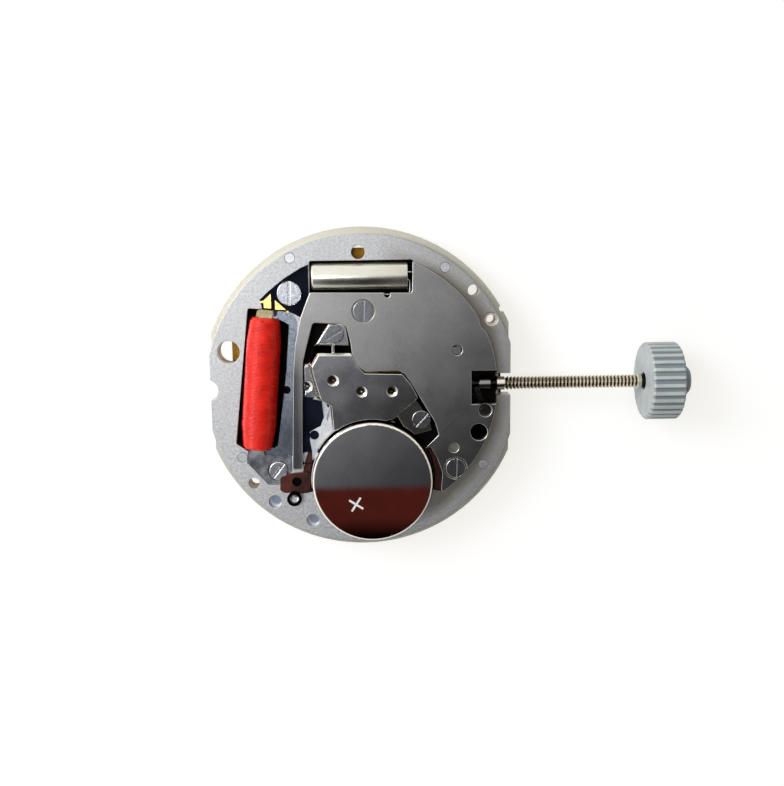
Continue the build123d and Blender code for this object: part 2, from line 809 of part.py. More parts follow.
def dial_side_sheet():
    """Brown sheet that holds the dial side wheels in."""
    sheet = sheet_blank(0, 0, sheet_thickness) - pin(hour_collar + pocket_gap, -overrun, overrun)
    for place_share in sheet_screw_shares:
        sheet -= pin(sheet_head + head_clearance, -overrun, overrun, spot(place_share))
        seat = (sheet_head + head_clearance, shank_radius, head_height / 2, sheet_thickness)
        sheet += ring(*seat, spot(place_share))
    return sheet


# Keyless works
def lever_room():
    """Room on the dial side for the setting lever's swing."""
    high = lever_top + running_gap
    room = pin(lever_hub + pocket_gap, sheet_thickness, high, lever_place)
    return room + block(window_left, window_right, lever_place[1], stem_line, sheet_thickness, high)


def setting_lever():
    """Lever whose peg sits in the stem's groove and whose pivot shows through the cover."""
    peg_place = (groove_centre, stem_line)
    turn = heading(lever_place, peg_place)
    length = apart(lever_place, peg_place)
    arm = block(0, length, -lever_arm / 2, lever_arm / 2, lever_bottom, lever_top)
    lever = Pos(lever_place[0], lever_place[1], 0) * Rot(0, 0, turn) * arm
    lever += pin(lever_hub, lever_bottom, lever_top, lever_place)
    lever += pin(lever_tip, lever_bottom, lever_top, peg_place)
    lever += pin(lever_peg, lever_bottom, lever_peg_top, peg_place)
    return lever + pin(lever_pin, lever_bottom, cover_bottom + cover_thickness, lever_place)


def spring_shape(gap, low, high):
    """Flat spring that bears on the setting lever."""
    foot = spot(spring_foot_share)
    tip = spot(spring_tip_share)
    blade = block(0, apart(foot, tip), -spring_width / 2 - gap, spring_width / 2 + gap, low, high)
    blade = Pos(foot[0], foot[1], 0) * Rot(0, 0, heading(foot, tip)) * blade
    return blade + pin(lever_arm + gap, low, high, foot)


def setting_lever_spring():
    """Flat spring held by its foot in the plate."""
    return spring_shape(0, sheet_thickness, lever_top)


def yoke_shape(gap, low, high):
    """Lever that holds the sliding pinion by its groove."""
    pivot = spot(yoke_pivot_share)
    tip = spot(yoke_tip_share)
    bar = block(0, apart(pivot, tip) + gap, -yoke_width / 2 - gap, yoke_width / 2 + gap, low, high)
    bar = Pos(pivot[0], pivot[1], 0) * Rot(0, 0, heading(pivot, tip)) * bar
    return bar + pin(yoke_width + gap, low, high, pivot)


def yoke():
    """Yoke with its finger in the sliding pinion's groove."""
    tip = spot(yoke_tip_share)
    finger = block(pinion_groove_left + running_gap, pinion_groove_right - running_gap,
                   stem_line + pinion_groove_radius + running_gap, tip[1] + yoke_width, yoke_bottom, yoke_top)
    bar = yoke_shape(0, yoke_bottom, yoke_top)
    bar -= along_x(Cylinder(pinion_radius + wheel_clearance, pinion_right - pinion_left + overrun),
                   (pinion_left + pinion_right) / 2)
    return bar + finger


def sliding_pinion():
    """Pinion with a square bore that turns with the stem."""
    module = pinion_radius / (pinion_teeth / 2 + tooth_tip_share)
    toothed = extrude(gear_face(pinion_teeth, module), pinion_groove_left - pinion_left)
    body = along_x(toothed, pinion_left)
    body += along_x(Cylinder(pinion_groove_radius, pinion_right - pinion_left, align=base), pinion_left)
    right_end = Cylinder(pinion_radius, pinion_right - pinion_groove_right, align=base)
    body += along_x(right_end, pinion_groove_right)
    side = square_side + running_gap
    bore = block(pinion_left - overrun, pinion_right + overrun, stem_line - side / 2, stem_line + side / 2,
                 stem_height - side / 2, stem_height + side / 2)
    return body - bore


def winding_stem():
    """Stem: pilot, square, groove, collar, journal and a long thread."""
    profile = [(pilot_start, 0), (pilot_start, pilot_radius), (square_end, pilot_radius)]
    groove_left = groove_centre - groove_length / 2
    groove_right = groove_centre + groove_length / 2
    profile += [(square_end, journal_radius), (groove_left, journal_radius), (groove_left, neck_radius)]
    profile += [(groove_right, neck_radius), (groove_right, journal_radius), (collar_end, journal_radius)]
    profile += [(collar_end, neck_radius), (wall_left, neck_radius), (wall_left, journal_radius)]
    turns = round((thread_end - thread_start) / thread_pitch)
    step = (thread_end - thread_start) / turns
    profile.append((thread_start, journal_radius))
    for turn in range(turns):
        left = thread_start + turn * step
        profile.append((left + step / 2, thread_radius - thread_depth))
        profile.append((left + step, thread_radius))
    stem_end = knob_left + stem_in_knob
    profile += [(stem_end, thread_radius), (stem_end, 0)]
    stem = Pos(0, stem_line, stem_height) * revolve(make_face(Polyline(*profile, close=True)), Axis.X)
    square = block(square_start, square_end, stem_line - square_side / 2, stem_line + square_side / 2,
                   stem_height - square_side / 2, stem_height + square_side / 2)
    return stem + square


def setting_knob():
    """Ribbed knob screwed on the stem's end, with a round boss."""
    points = []
    for rib in range(knob_ribs):
        for depth_share, side_share in rib_shares:
            radius = knob_radius - rib_depth * depth_share
            angle = radians((rib + side_share) * 360 / knob_ribs)
            points.append((radius * cos(angle), radius * sin(angle)))
    body = extrude(make_face(Polyline(*points, close=True)), knob_right - knob_left)
    body &= chamfered_disc(knob_radius, knob_right - knob_left, knob_bevel)
    knob = along_x(body, knob_left)
    boss = chamfered_disc(boss_radius, boss_length + knob_bevel, boss_bevel)
    knob += along_x(boss, knob_right - knob_bevel)
    knob -= along_x(Cylinder(knob_mouth, mouth_depth + overrun, align=base), knob_left - overrun)
    return knob - along_x(Cylinder(thread_radius, stem_in_knob + overrun, align=base), knob_left - overrun)


def chamfered_disc(radius, height, bevel):
    """Upright disc with both edges bevelled."""
    disc = Cylinder(radius, height, align=base)
    return chamfer(disc.edges().filter_by(GeomType.CIRCLE), bevel)


# Covers, bridge and boards
def module_cover():
    """Steel cover over the electronics and the setting parts."""
    high = cover_bottom + cover_thickness
    face = plan(cover_outline_share, cover_corner)
    cover = slab(face, cover_bottom, high) & pin(cover_radius, cover_bottom, high, spot(cover_centre_share))
    cover -= pin(ringed_step + cover_bite, cover_bottom - overrun, high + overrun, spot(ringed_hole_share))
    cover -= cell_pocket(bridge_gap, cover_bottom - overrun, high + overrun)
    window = (window_left, window_right + overrun, window_low, window_high)
    cover -= block(*window, cover_bottom - overrun, high + overrun)
    for place_share in cover_screw_shares:
        cover -= pin(shank_radius, cover_bottom - overrun, high + overrun, spot(place_share))
        cover -= pin(cover_head + head_clearance, cover_seat, high + overrun, spot(place_share))
    for place_share, radius in (
        (lever_place_share, lever_ring),
        (cover_recess_share, recess_radius),
        (cover_hole_share, clip_hole),
        (cover_nick_share, cover_nick),
        (cover_rivet_share, stud_radius),
    ):
        cover -= pin(radius, cover_bottom - overrun, high + overrun, spot(place_share))
    return cover


def edge_bevel(start_share, end_share, high, size):
    """Square bar, set on its corner, that bevels a straight upper edge."""
    start = spot(start_share)
    end = spot(end_share)
    side = size * 2**0.5
    length = apart(start, end) + 2 * size
    bar = Rot(45, 0, 0) * Box(length, side, side)
    middle = ((start[0] + end[0]) / 2, (start[1] + end[1]) / 2)
    return Pos(middle[0], middle[1], high) * Rot(0, 0, heading(start, end)) * bar


def oil_sink(place, high):
    """Hollow round a pivot, with the pivot's hole below it."""
    sink = Cone(pivot_radius, sink_radius, sink_depth, align=base)
    sink = Pos(place[0], place[1], high - sink_depth) * sink
    return sink + pin(pivot_radius + pivot_clearance, bridge_bottom - overrun, high, place)


def train_bridge():
    """Bridge over the wheels, with a screwed lug above and a screwed tongue below it."""
    plate_face = plan(bridge_outline_share, cover_corner)
    body = slab(plate_face, bridge_bottom, bridge_top)
    body -= edge_bevel(bridge_outline_share[0], bridge_outline_share[1], bridge_top, bridge_bevel)
    body -= edge_bevel(bridge_outline_share[-1], bridge_outline_share[0], bridge_top, bridge_bevel)
    shelf = slab(plan(shelf_outline_share), bridge_bottom, shelf_top)
    shelf -= edge_bevel(shelf_outline_share[0], shelf_outline_share[1], shelf_top, bridge_bevel)
    lug = slab(plan(lug_outline_share), bridge_bottom, shelf_top)
    lug -= edge_bevel(lug_outline_share[1], lug_outline_share[2], shelf_top, bridge_bevel)
    lug -= edge_bevel(lug_outline_share[0], lug_outline_share[1], shelf_top, bridge_bevel / 2)
    top_line = spot(bridge_outline_share[0])[1]
    lug_line = spot(lug_outline_share[1])[1]
    link_x = spot(link_share)[0]
    link_low = top_line - bridge_bevel - link_width
    link_high = lug_line + bridge_bevel + link_width
    link = block(link_x, link_x + link_width, link_low, link_high, bridge_bottom, shelf_top - link_width)
    tongue = slab(plan(tongue_outline_share), tongue_bottom, tongue_top)
    neck = slab(plan(tongue_outline_share), tongue_bottom, bridge_bottom + link_width) & slab(
        plan(bridge_outline_share, cover_corner), tongue_bottom, bridge_bottom + link_width)
    bridge = body + shelf + lug + link + tongue + neck
    bridge -= groove()
    bridge -= cell_pocket(bridge_gap, tongue_bottom - overrun, bridge_top + overrun)
    for place, high in ((centre, bridge_top), (middle_place, bridge_top), (third_place, bridge_top),
                        (rotor_place, shelf_top)):
        bridge -= oil_sink(place, high)
    room_top = bridge_bottom - shoulder_gap / 2
    bridge -= pin(arbor_radius + wheel_clearance, tongue_bottom - overrun, room_top, third_place)
    for place_share in (lug_screw_share, tongue_screw_share):
        bridge -= pin(shank_radius, tongue_bottom - overrun, bridge_top + overrun, spot(place_share))
    return bridge


def groove():
    """Narrow groove between the bridge and its shelf over the rotor."""
    start = spot(groove_shares[0])
    end = spot(groove_shares[1])
    cut = block(-overrun, apart(start, end), -groove_width, 0, groove_floor, bridge_top + overrun)
    return Pos(start[0], start[1], 0) * Rot(0, 0, heading(start, end)) * cut


def circuit_board():
    """Thin black board that carries the chip and joins the coil, crystal and battery."""
    board = slab(plan(board_outline_share), plate_top, plate_top + board_thickness)
    board -= pin(shank_radius, plate_top - overrun, plate_top + overrun, spot(board_screw_share))
    board -= pin(board_hole, plate_top - overrun, plate_top + overrun, spot(board_hole_share))
    return board - riser(running_gap)


def circuit_pads():
    """Gold pads on the board, where the coil's ends are soldered."""
    low = plate_top + board_thickness
    high = low + pad_thickness
    return Compound([slab(plan(outline_share), low, high) for outline_share in pad_outline_shares])


def chip(gap, high):
    """Integrated circuit, hung under the board."""
    left, front = spot(chip_shares[0])
    right, back = spot(chip_shares[1])
    return block(left - gap, right + gap, front - gap, back + gap, web_top + shoulder_gap - gap, high)


# Motor and crystal
coil_top = spot(coil_top_share)
coil_low = spot(coil_low_share)
coil_length = apart(coil_low, coil_top)
coil_height = core_bottom + core_thickness / 2


def along_coil(solid):
    """Set an upright solid along the coil, from its lower end."""
    plane = Plane(origin=(coil_low[0], coil_low[1], coil_height),
                  x_dir=(0, 0, 1),
                  z_dir=(coil_top[0] - coil_low[0], coil_top[1] - coil_low[1], 0))
    return plane * solid


def coil_winding():
    """Packed inner layers of the coil, narrower at both ends."""
    profile = [(0, 0), (coil_radius - coil_taper / 2, 0), (coil_radius, coil_taper),
               (coil_radius, coil_length - coil_taper), (coil_radius - coil_taper / 2, coil_length),
               (0, coil_length)]
    drum = revolve(Plane.XZ * make_face(Polyline(*profile, close=True)), Axis.Z)
    drum -= Box(core_thickness, core_width, 2 * coil_length + overrun)
    return along_coil(drum)


def half_turn(start, start_way, end, end_way):
    """Two arcs that join two points and keep the given directions at both."""
    step = end - start
    both = start_way + end_way
    curve = 2 * (1 - start_way.dot(end_way))
    along = step.dot(both)
    reach = (-along + (along**2 + curve * step.dot(step)) ** 0.5) / curve
    middle = (start + end + (start_way - end_way) * reach) / 2
    first = TangentArc(start, middle, tangent=start_way)
    return [first, TangentArc(end, middle, tangent=end_way * -1)]


def coil_outer_layer():
    """Outer turns of the coil, one unbroken wire wound over the inner layers."""
    wound = coil_length - 2 * coil_taper - 2 * wire_radius
    turns = round(wound / wire_pitch)
    pitch = wound / turns
    radius = coil_radius + wire_radius + wire_gap
    rise = pitch / (2 * pi * radius)
    steps = 2 * turns
    edges = []
    points = []
    ways = []
    for step in range(steps + 1):
        angle = pi * step
        points.append(Vector(radius * cos(angle), radius * sin(angle),
                             coil_taper + wire_radius + pitch * step / 2))
        ways.append(Vector(-sin(angle), cos(angle), rise).normalized())
    tail = 2 * wire_radius
    edges.append(Line(points[0] - ways[0] * tail, points[0]))
    for step in range(steps):
        edges += half_turn(points[step], ways[step], points[step + 1], ways[step + 1])
    edges.append(Line(points[-1], points[-1] + ways[-1] * tail))
    path = Wire(edges)
    section = Plane(origin=path @ 0, z_dir=path % 0) * Circle(wire_radius)
    print("coil turns", turns, "least gap between turns", round(pitch - 2 * wire_radius, 3))
    return along_coil(sweep(section, path=path))


def coil_core():
    """Soft iron core through the coil, with a head and a screwed foot."""
    bar = Box(core_thickness, core_width, coil_length + 2 * core_reach)
    bar = along_coil(Pos(0, 0, coil_length / 2) * bar)
    high = core_bottom + core_thickness
    foot = slab(plan(foot_outline_share), core_bottom, high)
    foot -= pin(bridge_head + head_clearance, foot_seat, high + overrun, spot(foot_screw_share))
    foot -= pin(shank_radius, core_bottom - overrun, high + overrun, spot(foot_screw_share))
    return bar + foot + slab(plan(head_tab_outline_share), core_bottom, high)


def stator():
    """Soft iron plate round the rotor, under both ends of the core."""
    plate = slab(plan(stator_outline_share), web_top, web_top + stator_thickness)
    plate -= pin(stator_hole, web_top - overrun, web_top + overrun, rotor_place)
    return plate - pin(stator_mark, web_top - overrun, web_top + overrun, spot(stator_mark_share))


crystal_height = sheet_thickness + crystal_rest + crystal_radius
crystal_line = crystal_axis_share * plate_radius


def crystal_can():
    """Closed metal can of the quartz crystal, lying in its room."""
    length = crystal_right - crystal_left
    can = Cylinder(crystal_radius, length, align=base)
    can = fillet(can.edges().group_by(Axis.Z)[0], crystal_edge)
    can = chamfer(can.edges().group_by(Axis.Z)[-1], crystal_edge / 2)
    return Pos(crystal_left, crystal_line, crystal_height) * Rot(0, 90, 0) * can


def lead(side, radius):
    """One wire from the crystal's right end down to the board's edge."""
    y = crystal_line + side * lead_spread
    x = crystal_right + lead_reach + side * (lead_radius + 2 * running_gap)
    end_y = spot((0, lead_end_share))[1]
    path = FilletPolyline(
        (crystal_right, y, crystal_height), (x, y, crystal_height), (x, end_y, crystal_height),
        (x, end_y, plate_top), radius=lead_bend)
    section = Plane(origin=(crystal_right, y, crystal_height), z_dir=(1, 0, 0)) * Circle(radius)
    return sweep(section, path=path)


def crystal_leads():
    """Both wires of the crystal."""
    return Compound([lead(side, lead_radius) for side in (-1, 1)])


# Battery, its lining and its contacts
def battery_can():
    """Can that is the positive pole, open below, with a plus pressed in its face."""
    high = cell_bottom + cell_height
    can = pin(cell_radius, cell_bottom, high, cell_place)
    can = fillet(can.edges().group_by(Axis.Z)[-1], cell_edge)
    can -= pin(cell_radius - cell_wall, cell_bottom - overrun, high - cell_wall, cell_place)
    for along, across in ((plus_length, plus_width), (plus_width, plus_length)):
        bar = block(-along / 2, along / 2, -across / 2, across / 2, high - engraving, high + overrun)
        can -= Pos(cell_place[0] - plus_aside, cell_place[1] - plus_drop, 0) * Rot(0, 0, plus_turn) * bar
    return can


def battery_gasket():
    """Sealing ring between the can and the cap."""
    return ring(cell_radius - cell_wall, cap_radius, cell_bottom, cell_bottom + gasket_height, cell_place)


def battery_cap():
    """Cap that is the negative pole, a shallow cup with its open side up."""
    cap = pin(cap_radius, cell_bottom, cell_bottom + gasket_height, cell_place)
    high = cell_bottom + gasket_height + overrun
    return cap - pin(cap_radius - cell_wall, cell_bottom + cell_wall, high, cell_place)


def battery_anode():
    """Zinc filling of the cap."""
    return pin(cap_radius - cell_wall, cell_bottom + cell_wall, cell_bottom + gasket_height, cell_place)


def battery_separator():
    """Disc between the battery's two fillings."""
    low = cell_bottom + gasket_height
    return pin(cell_radius - cell_wall, low, low + film_thickness, cell_place)


def battery_cathode():
    """Pressed pellet in the can's upper part."""
    low = cell_bottom + gasket_height + film_thickness
    return pin(cell_radius - cell_wall, low, cell_bottom + cell_height - cell_wall, cell_place)


def battery_insulator():
    """Brown lining: a film under the battery, two curved walls and a tab with a hole."""
    film = pin(cell_radius, pocket_floor, pocket_floor + film_thickness, cell_place)
    walls = lining(lining_outer, lining_inner, pocket_floor, lining_top)
    feet = lining(lining_outer, cell_radius - pocket_gap, pocket_floor, pocket_floor + film_thickness)
    tab = slab(plan(tab_outline_share, cover_corner), plate_top, plate_top + tab_thickness)
    tab -= pin(tab_hole, plate_top - overrun, plate_top + overrun, spot(tab_hole_share))
    riser_wall = lining(lining_outer, lining_inner, lining_top, plate_top + tab_thickness)
    tab += riser_wall & slab(plan(tab_outline_share, cover_corner), lining_top, plate_top + tab_thickness)
    lining_piece = film + walls + feet + tab
    hole = (tube_rivet + running_gap, plate_top - overrun, plate_top + overrun)
    lining_piece -= pin(*hole, spot(tube_rivet_share))
    lining_piece -= cell_pocket(pocket_gap, pocket_floor + film_thickness, cover_bottom + overrun)
    return lining_piece - contact_strip(running_gap) - riser(running_gap)


def contact_strip(gap):
    """Strip of the lower contact that lies under the battery."""
    reach = contact_reach + contact_thickness
    strip = block(-gap, reach, -contact_width / 2 - gap, contact_width / 2 + gap,
                  pocket_floor, pocket_floor + contact_thickness)
    return Pos(cell_place[0], cell_place[1], 0) * Rot(0, 0, contact_turn) * strip


def riser(gap):
    """Upright end of the lower contact, which touches the board."""
    strip = block(contact_reach - gap, contact_reach + contact_thickness + gap,
                  -contact_width / 2 - gap, contact_width / 2 + gap,
                  pocket_floor, plate_top + board_thickness)
    return Pos(cell_place[0], cell_place[1], 0) * Rot(0, 0, contact_turn) * strip


def negative_contact():
    """Lower battery contact: a strip under the battery, turned up to the board."""
    return contact_strip(0) + riser(0)


def positive_contact():
    """Bright clip on the board, with a blade along the battery's side."""
    low = plate_top + board_thickness
    clip = slab(plan(clip_outline_share), low, low + clip_thickness)
    clip -= slab(plan(clip_slit_share), low - overrun, low + overrun)
    clip -= pin(clip_hole, low - overrun, low + overrun, spot(clip_hole_share))
    clip -= cell_pocket(lift_out_gap, low - overrun, low + overrun)
    outer = cell_radius + lift_out_gap + contact_thickness
    blade = ring(outer, cell_radius + lift_out_gap, blade_bottom, blade_top, cell_place)
    blade &= sector(blade_sector[0], blade_sector[1], lining_outer, blade_bottom, blade_top)
    return clip + blade


# Small fixed pieces
def stud(place_share, radius, low, high):
    """Plain round stud."""
    return pin(radius, low, high, spot(place_share))


def plate_studs():
    """Round studs pressed flush into the plate."""
    size = (stud_radius, web_top, plate_top + stud_rise)
    return Compound([stud(place_share, *size) for place_share in stud_shares])


def contact_rivet():
    """Hollow rivet that stands beside the lining's tab."""
    place = spot(tube_rivet_share)
    rivet = pin(tube_rivet, plate_top, tube_rivet_top, place)
    rivet += pin(tube_rivet_bore + running_gap, web_top, plate_top, place)
    return rivet - pin(tube_rivet_bore, web_top + shoulder_gap, tube_rivet_top + overrun, place)


def cover_rivet():
    """Rivet that shows flush in the cover."""
    return stud(cover_rivet_share, stud_radius, cover_bottom, cover_bottom + cover_thickness - stud_rise)


board_seat = plate_top + board_thickness
screws = {
    "cover_screws": [screw(spot(share), cover_head, cover_seat, cover_slots) for share in cover_screw_shares],
    "bridge_screws": [screw(spot(lug_screw_share), bridge_head, shelf_top, lug_slot),
                      screw(spot(tongue_screw_share), bridge_head, tongue_top, tongue_slot)],
    "coil_screw": [screw(spot(foot_screw_share), bridge_head, foot_seat, foot_slot)],
    "board_screw": [screw(spot(board_screw_share), board_head, board_seat, board_slot)],
    "dial_side_screws": [sheet_screw(spot(place_share)) for place_share in sheet_screw_shares],
}

nodes = {
    "main_plate": main_plate(),
    "dial_side_sheet": dial_side_sheet(),
    "centre_tube": ring(tube_outer, tube_inner, tube_tip, web_top),
    "module_cover": module_cover(),
    "train_bridge": train_bridge(),
    "circuit_board": circuit_board(),
    "circuit_pads": circuit_pads(),
    "integrated_circuit": chip(0, plate_top),
    "crystal_can": crystal_can(),
    "crystal_leads": crystal_leads(),
    "coil_winding": coil_winding(),
    "coil_outer_layer": coil_outer_layer(),
    "coil_core": coil_core(),
    "stator": stator(),
    "battery_insulator": battery_insulator(),
    "positive_contact": positive_contact(),
    "negative_contact": negative_contact(),
    "plate_studs": plate_studs(),
    "contact_rivet": contact_rivet(),
    "cover_rivet": cover_rivet(),
    "setting_lever_spring": setting_lever_spring(),
    "yoke": yoke(),
    "setting_lever": setting_lever(),
    "sliding_pinion": sliding_pinion(),
    "winding_stem": winding_stem(),
    "setting_knob": setting_knob(),
    "rotor_magnet": rotor_magnet(),
    "rotor_pinion": rotor_pinion(),
    "intermediate_wheel": intermediate_wheel(),
    "second_wheel": second_wheel(),
    "second_arbor": second_arbor(),
    "third_wheel": third_wheel(),
    "centre_wheel": centre_wheel(),
    "cannon_pinion": cannon_pinion(),
    "minute_wheel": minute_wheel(),
    "hour_wheel": hour_wheel(),
    "setting_wheel": setting_wheel(),
    "battery_can": battery_can(),
    "battery_gasket": battery_gasket(),
    "battery_cap": battery_cap(),
    "battery_anode": battery_anode(),
    "battery_separator": battery_separator(),
    "battery_cathode": battery_cathode(),
}
for node, pieces in screws.items():
    nodes[node] = Compound(pieces) if len(pieces) > 1 else pieces[0]

os.makedirs("parts", exist_ok=True)
for node, shape in nodes.items():
    save(node, shape)
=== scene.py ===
import json
import random
from math import hypot, pi, radians, sin

import bmesh
import bpy
from mathutils import Matrix, Vector


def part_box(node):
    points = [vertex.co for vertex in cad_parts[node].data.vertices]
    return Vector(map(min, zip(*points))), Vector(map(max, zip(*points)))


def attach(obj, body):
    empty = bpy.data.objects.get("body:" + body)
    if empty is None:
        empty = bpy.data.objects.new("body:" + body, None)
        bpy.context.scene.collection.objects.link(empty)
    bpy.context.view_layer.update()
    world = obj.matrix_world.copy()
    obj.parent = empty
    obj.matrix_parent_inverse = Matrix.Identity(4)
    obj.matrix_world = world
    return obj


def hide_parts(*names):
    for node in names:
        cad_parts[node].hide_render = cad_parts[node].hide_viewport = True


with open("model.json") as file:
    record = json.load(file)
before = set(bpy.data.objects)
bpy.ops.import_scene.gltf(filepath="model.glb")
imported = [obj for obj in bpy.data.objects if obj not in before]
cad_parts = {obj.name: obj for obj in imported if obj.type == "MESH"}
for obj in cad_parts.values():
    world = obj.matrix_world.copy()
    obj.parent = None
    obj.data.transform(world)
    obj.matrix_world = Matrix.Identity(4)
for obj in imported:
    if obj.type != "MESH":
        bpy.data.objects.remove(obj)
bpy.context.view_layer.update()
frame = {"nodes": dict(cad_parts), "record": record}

mm = 0.001
nodes = frame["nodes"]
record = frame["record"]
print("frame loaded,", len(nodes), "nodes")

# the camera, as fitted to the photograph: its place in millimetres, near and far in metres
camera = {
    "place": (1.26, 9.29, 63.15),
    "right": (0.99981, -0.01380, 0.01357),
    "up": (0.01570, 0.98832, -0.15156),
    "back": (-0.01132, 0.15174, 0.98836),
    "lens": 43.51, "sensor": 36, "near": 0.001, "far": 20,
}
cameraData = bpy.data.cameras.new("photoCamera")
cameraData.lens = camera["lens"]
cameraData.sensor_width = camera["sensor"]
cameraData.clip_start = camera["near"]
cameraData.clip_end = camera["far"]
cameraObject = bpy.data.objects.new("photoCamera", cameraData)
bpy.context.scene.collection.objects.link(cameraObject)
turned = Matrix((camera["right"], camera["up"], camera["back"])).transposed().to_4x4()
cameraObject.matrix_world = Matrix.Translation([v * mm for v in camera["place"]]) @ turned
bpy.context.scene.camera = cameraObject
bpy.context.scene.view_settings.view_transform = "Standard"
print("camera set")

# what all materials share. A noise's values mostly lie in noiseRange.
noiseRange = (0.3, 0.7)
marks = {
    "level": (0.985, 0.95), "upright": (0.12, 0.25),  # the normal's upward share where the painted edge tone begins
    "hollowSoft": 0.02, "moon": (0.75, 1.05),  # a hollow's soft edge, and its crescent in shares of its reach
    "bandSoft": 0.004, "edgeSamples": 6,
}


class Board:
    # the node tree of a material or the world, with short ways to add and join nodes
    def __init__(self, owner):
        owner.use_nodes = True
        self.owner, self.tree = owner, owner.node_tree
        self.shader = self.tree.nodes.get("Principled BSDF")
        if self.shader:
            # a material's patterns are in millimetres on object coordinates
            source = self.add("ShaderNodeTexCoord")
            scale = self.add("ShaderNodeMapping")
            scale.inputs["Scale"].default_value = (1 / mm, 1 / mm, 1 / mm)
            self.join(source.outputs["Object"], scale.inputs["Vector"])
            self.place = scale.outputs["Vector"]

    def add(self, kind, **settings):
        node = self.tree.nodes.new(kind)
        for name, value in settings.items():
            setattr(node, name, value)
        return node

    def join(self, source, target):
        self.tree.links.new(source, target)

    def feed(self, value, socket):
        # a number, a colour or another node's output
        if isinstance(value, (int, float)):
            socket.default_value = value
        elif isinstance(value, tuple):
            socket.default_value = (*value, 1)
        else:
            self.join(value, socket)

    def math(self, operation, first, second=0.0):
        node = self.add("ShaderNodeMath", operation=operation)
        self.feed(first, node.inputs[0])
        self.feed(second, node.inputs[1])
        return node.outputs[0]

    def axes(self, vector=None):
        node = self.add("ShaderNodeSeparateXYZ")
        self.join(vector or self.place, node.inputs[0])
        return list(node.outputs)

    def away(self, first, second, centre=(0.0, 0.0)):
        # the distance from a line, or from the middle of a round hole
        across = self.math("SUBTRACT", first, centre[0])
        along = self.math("SUBTRACT", second, centre[1])
        squares = self.math("ADD", self.math("MULTIPLY", across, across), self.math("MULTIPLY", along, along))
        return self.math("SQRT", squares)

    def stretched(self, scale, turn):
        node = self.add("ShaderNodeMapping", vector_type="TEXTURE")
        self.join(self.place, node.inputs["Vector"])
        node.inputs["Rotation"].default_value = (0, 0, turn)
        node.inputs["Scale"].default_value = scale
        return node.outputs["Vector"]

    def noise(self, scale, detail=2.0, place=None, roughness=0.5):
        node = self.add("ShaderNodeTexNoise")
        node.inputs["Scale"].default_value = scale
        node.inputs["Detail"].default_value = detail
        node.inputs["Roughness"].default_value = roughness
        self.join(place or self.place, node.inputs["Vector"])
        return node.outputs["Fac"]

    def spread(self, value, low, high, outLow=0.0, outHigh=1.0):
        # low and high become outLow and outHigh, and what lies past them is held there
        node = self.add("ShaderNodeMapRange")
        self.feed(value, node.inputs["Value"])
        for name, limit in (("From Min", low), ("From Max", high), ("To Min", outLow), ("To Max", outHigh)):
            node.inputs[name].default_value = limit
        return node.outputs["Result"]

    def band(self, axis, low, high):
        # 1 between two heights on one axis
        along, soft = self.axes()[axis], marks["bandSoft"]
        return self.math("MULTIPLY", self.spread(along, low - soft, low + soft),
                         self.spread(along, high + soft, high - soft))

    def around(self, ring):
        # 1 near a line along x, such as in a thread's valleys or between ribs
        x, y, z = self.axes()
        return self.math("MULTIPLY", self.spread(self.away(y, z, ring["line"]), *ring["reach"]),
                         self.spread(x, *ring["from"]))

    def blend(self, share, first, second):
        node = self.add("ShaderNodeMix", data_type="RGBA")
        self.feed(share, node.inputs["Factor"])
        self.feed(first, node.inputs[6])
        self.feed(second, node.inputs[7])
        return node.outputs[2]

    def bump(self, height, depth, softEdge):
        # both measures are in millimetres
        node = self.add("ShaderNodeBump")
        node.inputs["Strength"].default_value = 1.0
        node.inputs["Distance"].default_value = depth * mm
        self.join(height, node.inputs["Height"])
        if softEdge:
            edge = self.add("ShaderNodeBevel", samples=marks["edgeSamples"])
            edge.inputs["Radius"].default_value = softEdge * mm
            self.join(edge.outputs["Normal"], node.inputs["Normal"])
        self.join(node.outputs["Normal"], self.shader.inputs["Normal"])

    def crescents(self, spots):
        # masks for painted shading of round hollows: the inside, and a painted bright crescent on each
        # hollow's far wall
        x, y = self.axes()[:2]
        soft = marks["hollowSoft"]
        inside = moon = 0.0
        for centreX, centreY, reach, shiftX, shiftY in spots:
            hollow = self.spread(self.away(x, y, (centreX, centreY)), reach + soft, reach - soft)
            aside = self.away(x, y, (centreX + shiftX, centreY + shiftY))
            bright = self.spread(aside, *(share * reach for share in marks["moon"]))
            inside = self.math("MAXIMUM", inside, hollow)
            moon = self.math("MAXIMUM", moon, self.math("MULTIPLY", hollow, bright))
        return inside, moon

    def shade(self, colour, first, second, tone):
        # painted shade: a tone that grows along two level directions
        x, y = self.axes()[:2]
        share = 1.0
        for alongX, alongY, low, high in (first, second):
            way = self.math("ADD", self.math("MULTIPLY", x, alongX), self.math("MULTIPLY", y, alongY))
            share = self.math("MULTIPLY", share, self.spread(way, low, high))
        return self.blend(share, colour, tone)

    def slopes(self):
        # 1 on bevelled edges, 0 on level and upright faces
        normal = self.add("ShaderNodeNewGeometry").outputs["True Normal"]
        upward = self.math("ABSOLUTE", self.axes(normal)[2])
        return self.math("MULTIPLY", self.spread(upward, *marks["level"]),
                         self.spread(upward, *marks["upright"]))

    def finish(self, colour, roughness, metallic, **others):
        self.feed(colour, self.shader.inputs["Base Color"])
        self.feed(roughness, self.shader.inputs["Roughness"])
        self.shader.inputs["Metallic"].default_value = metallic
        for name, value in others.items():
            self.shader.inputs[name.replace("_", " ")].default_value = value
        return self.owner


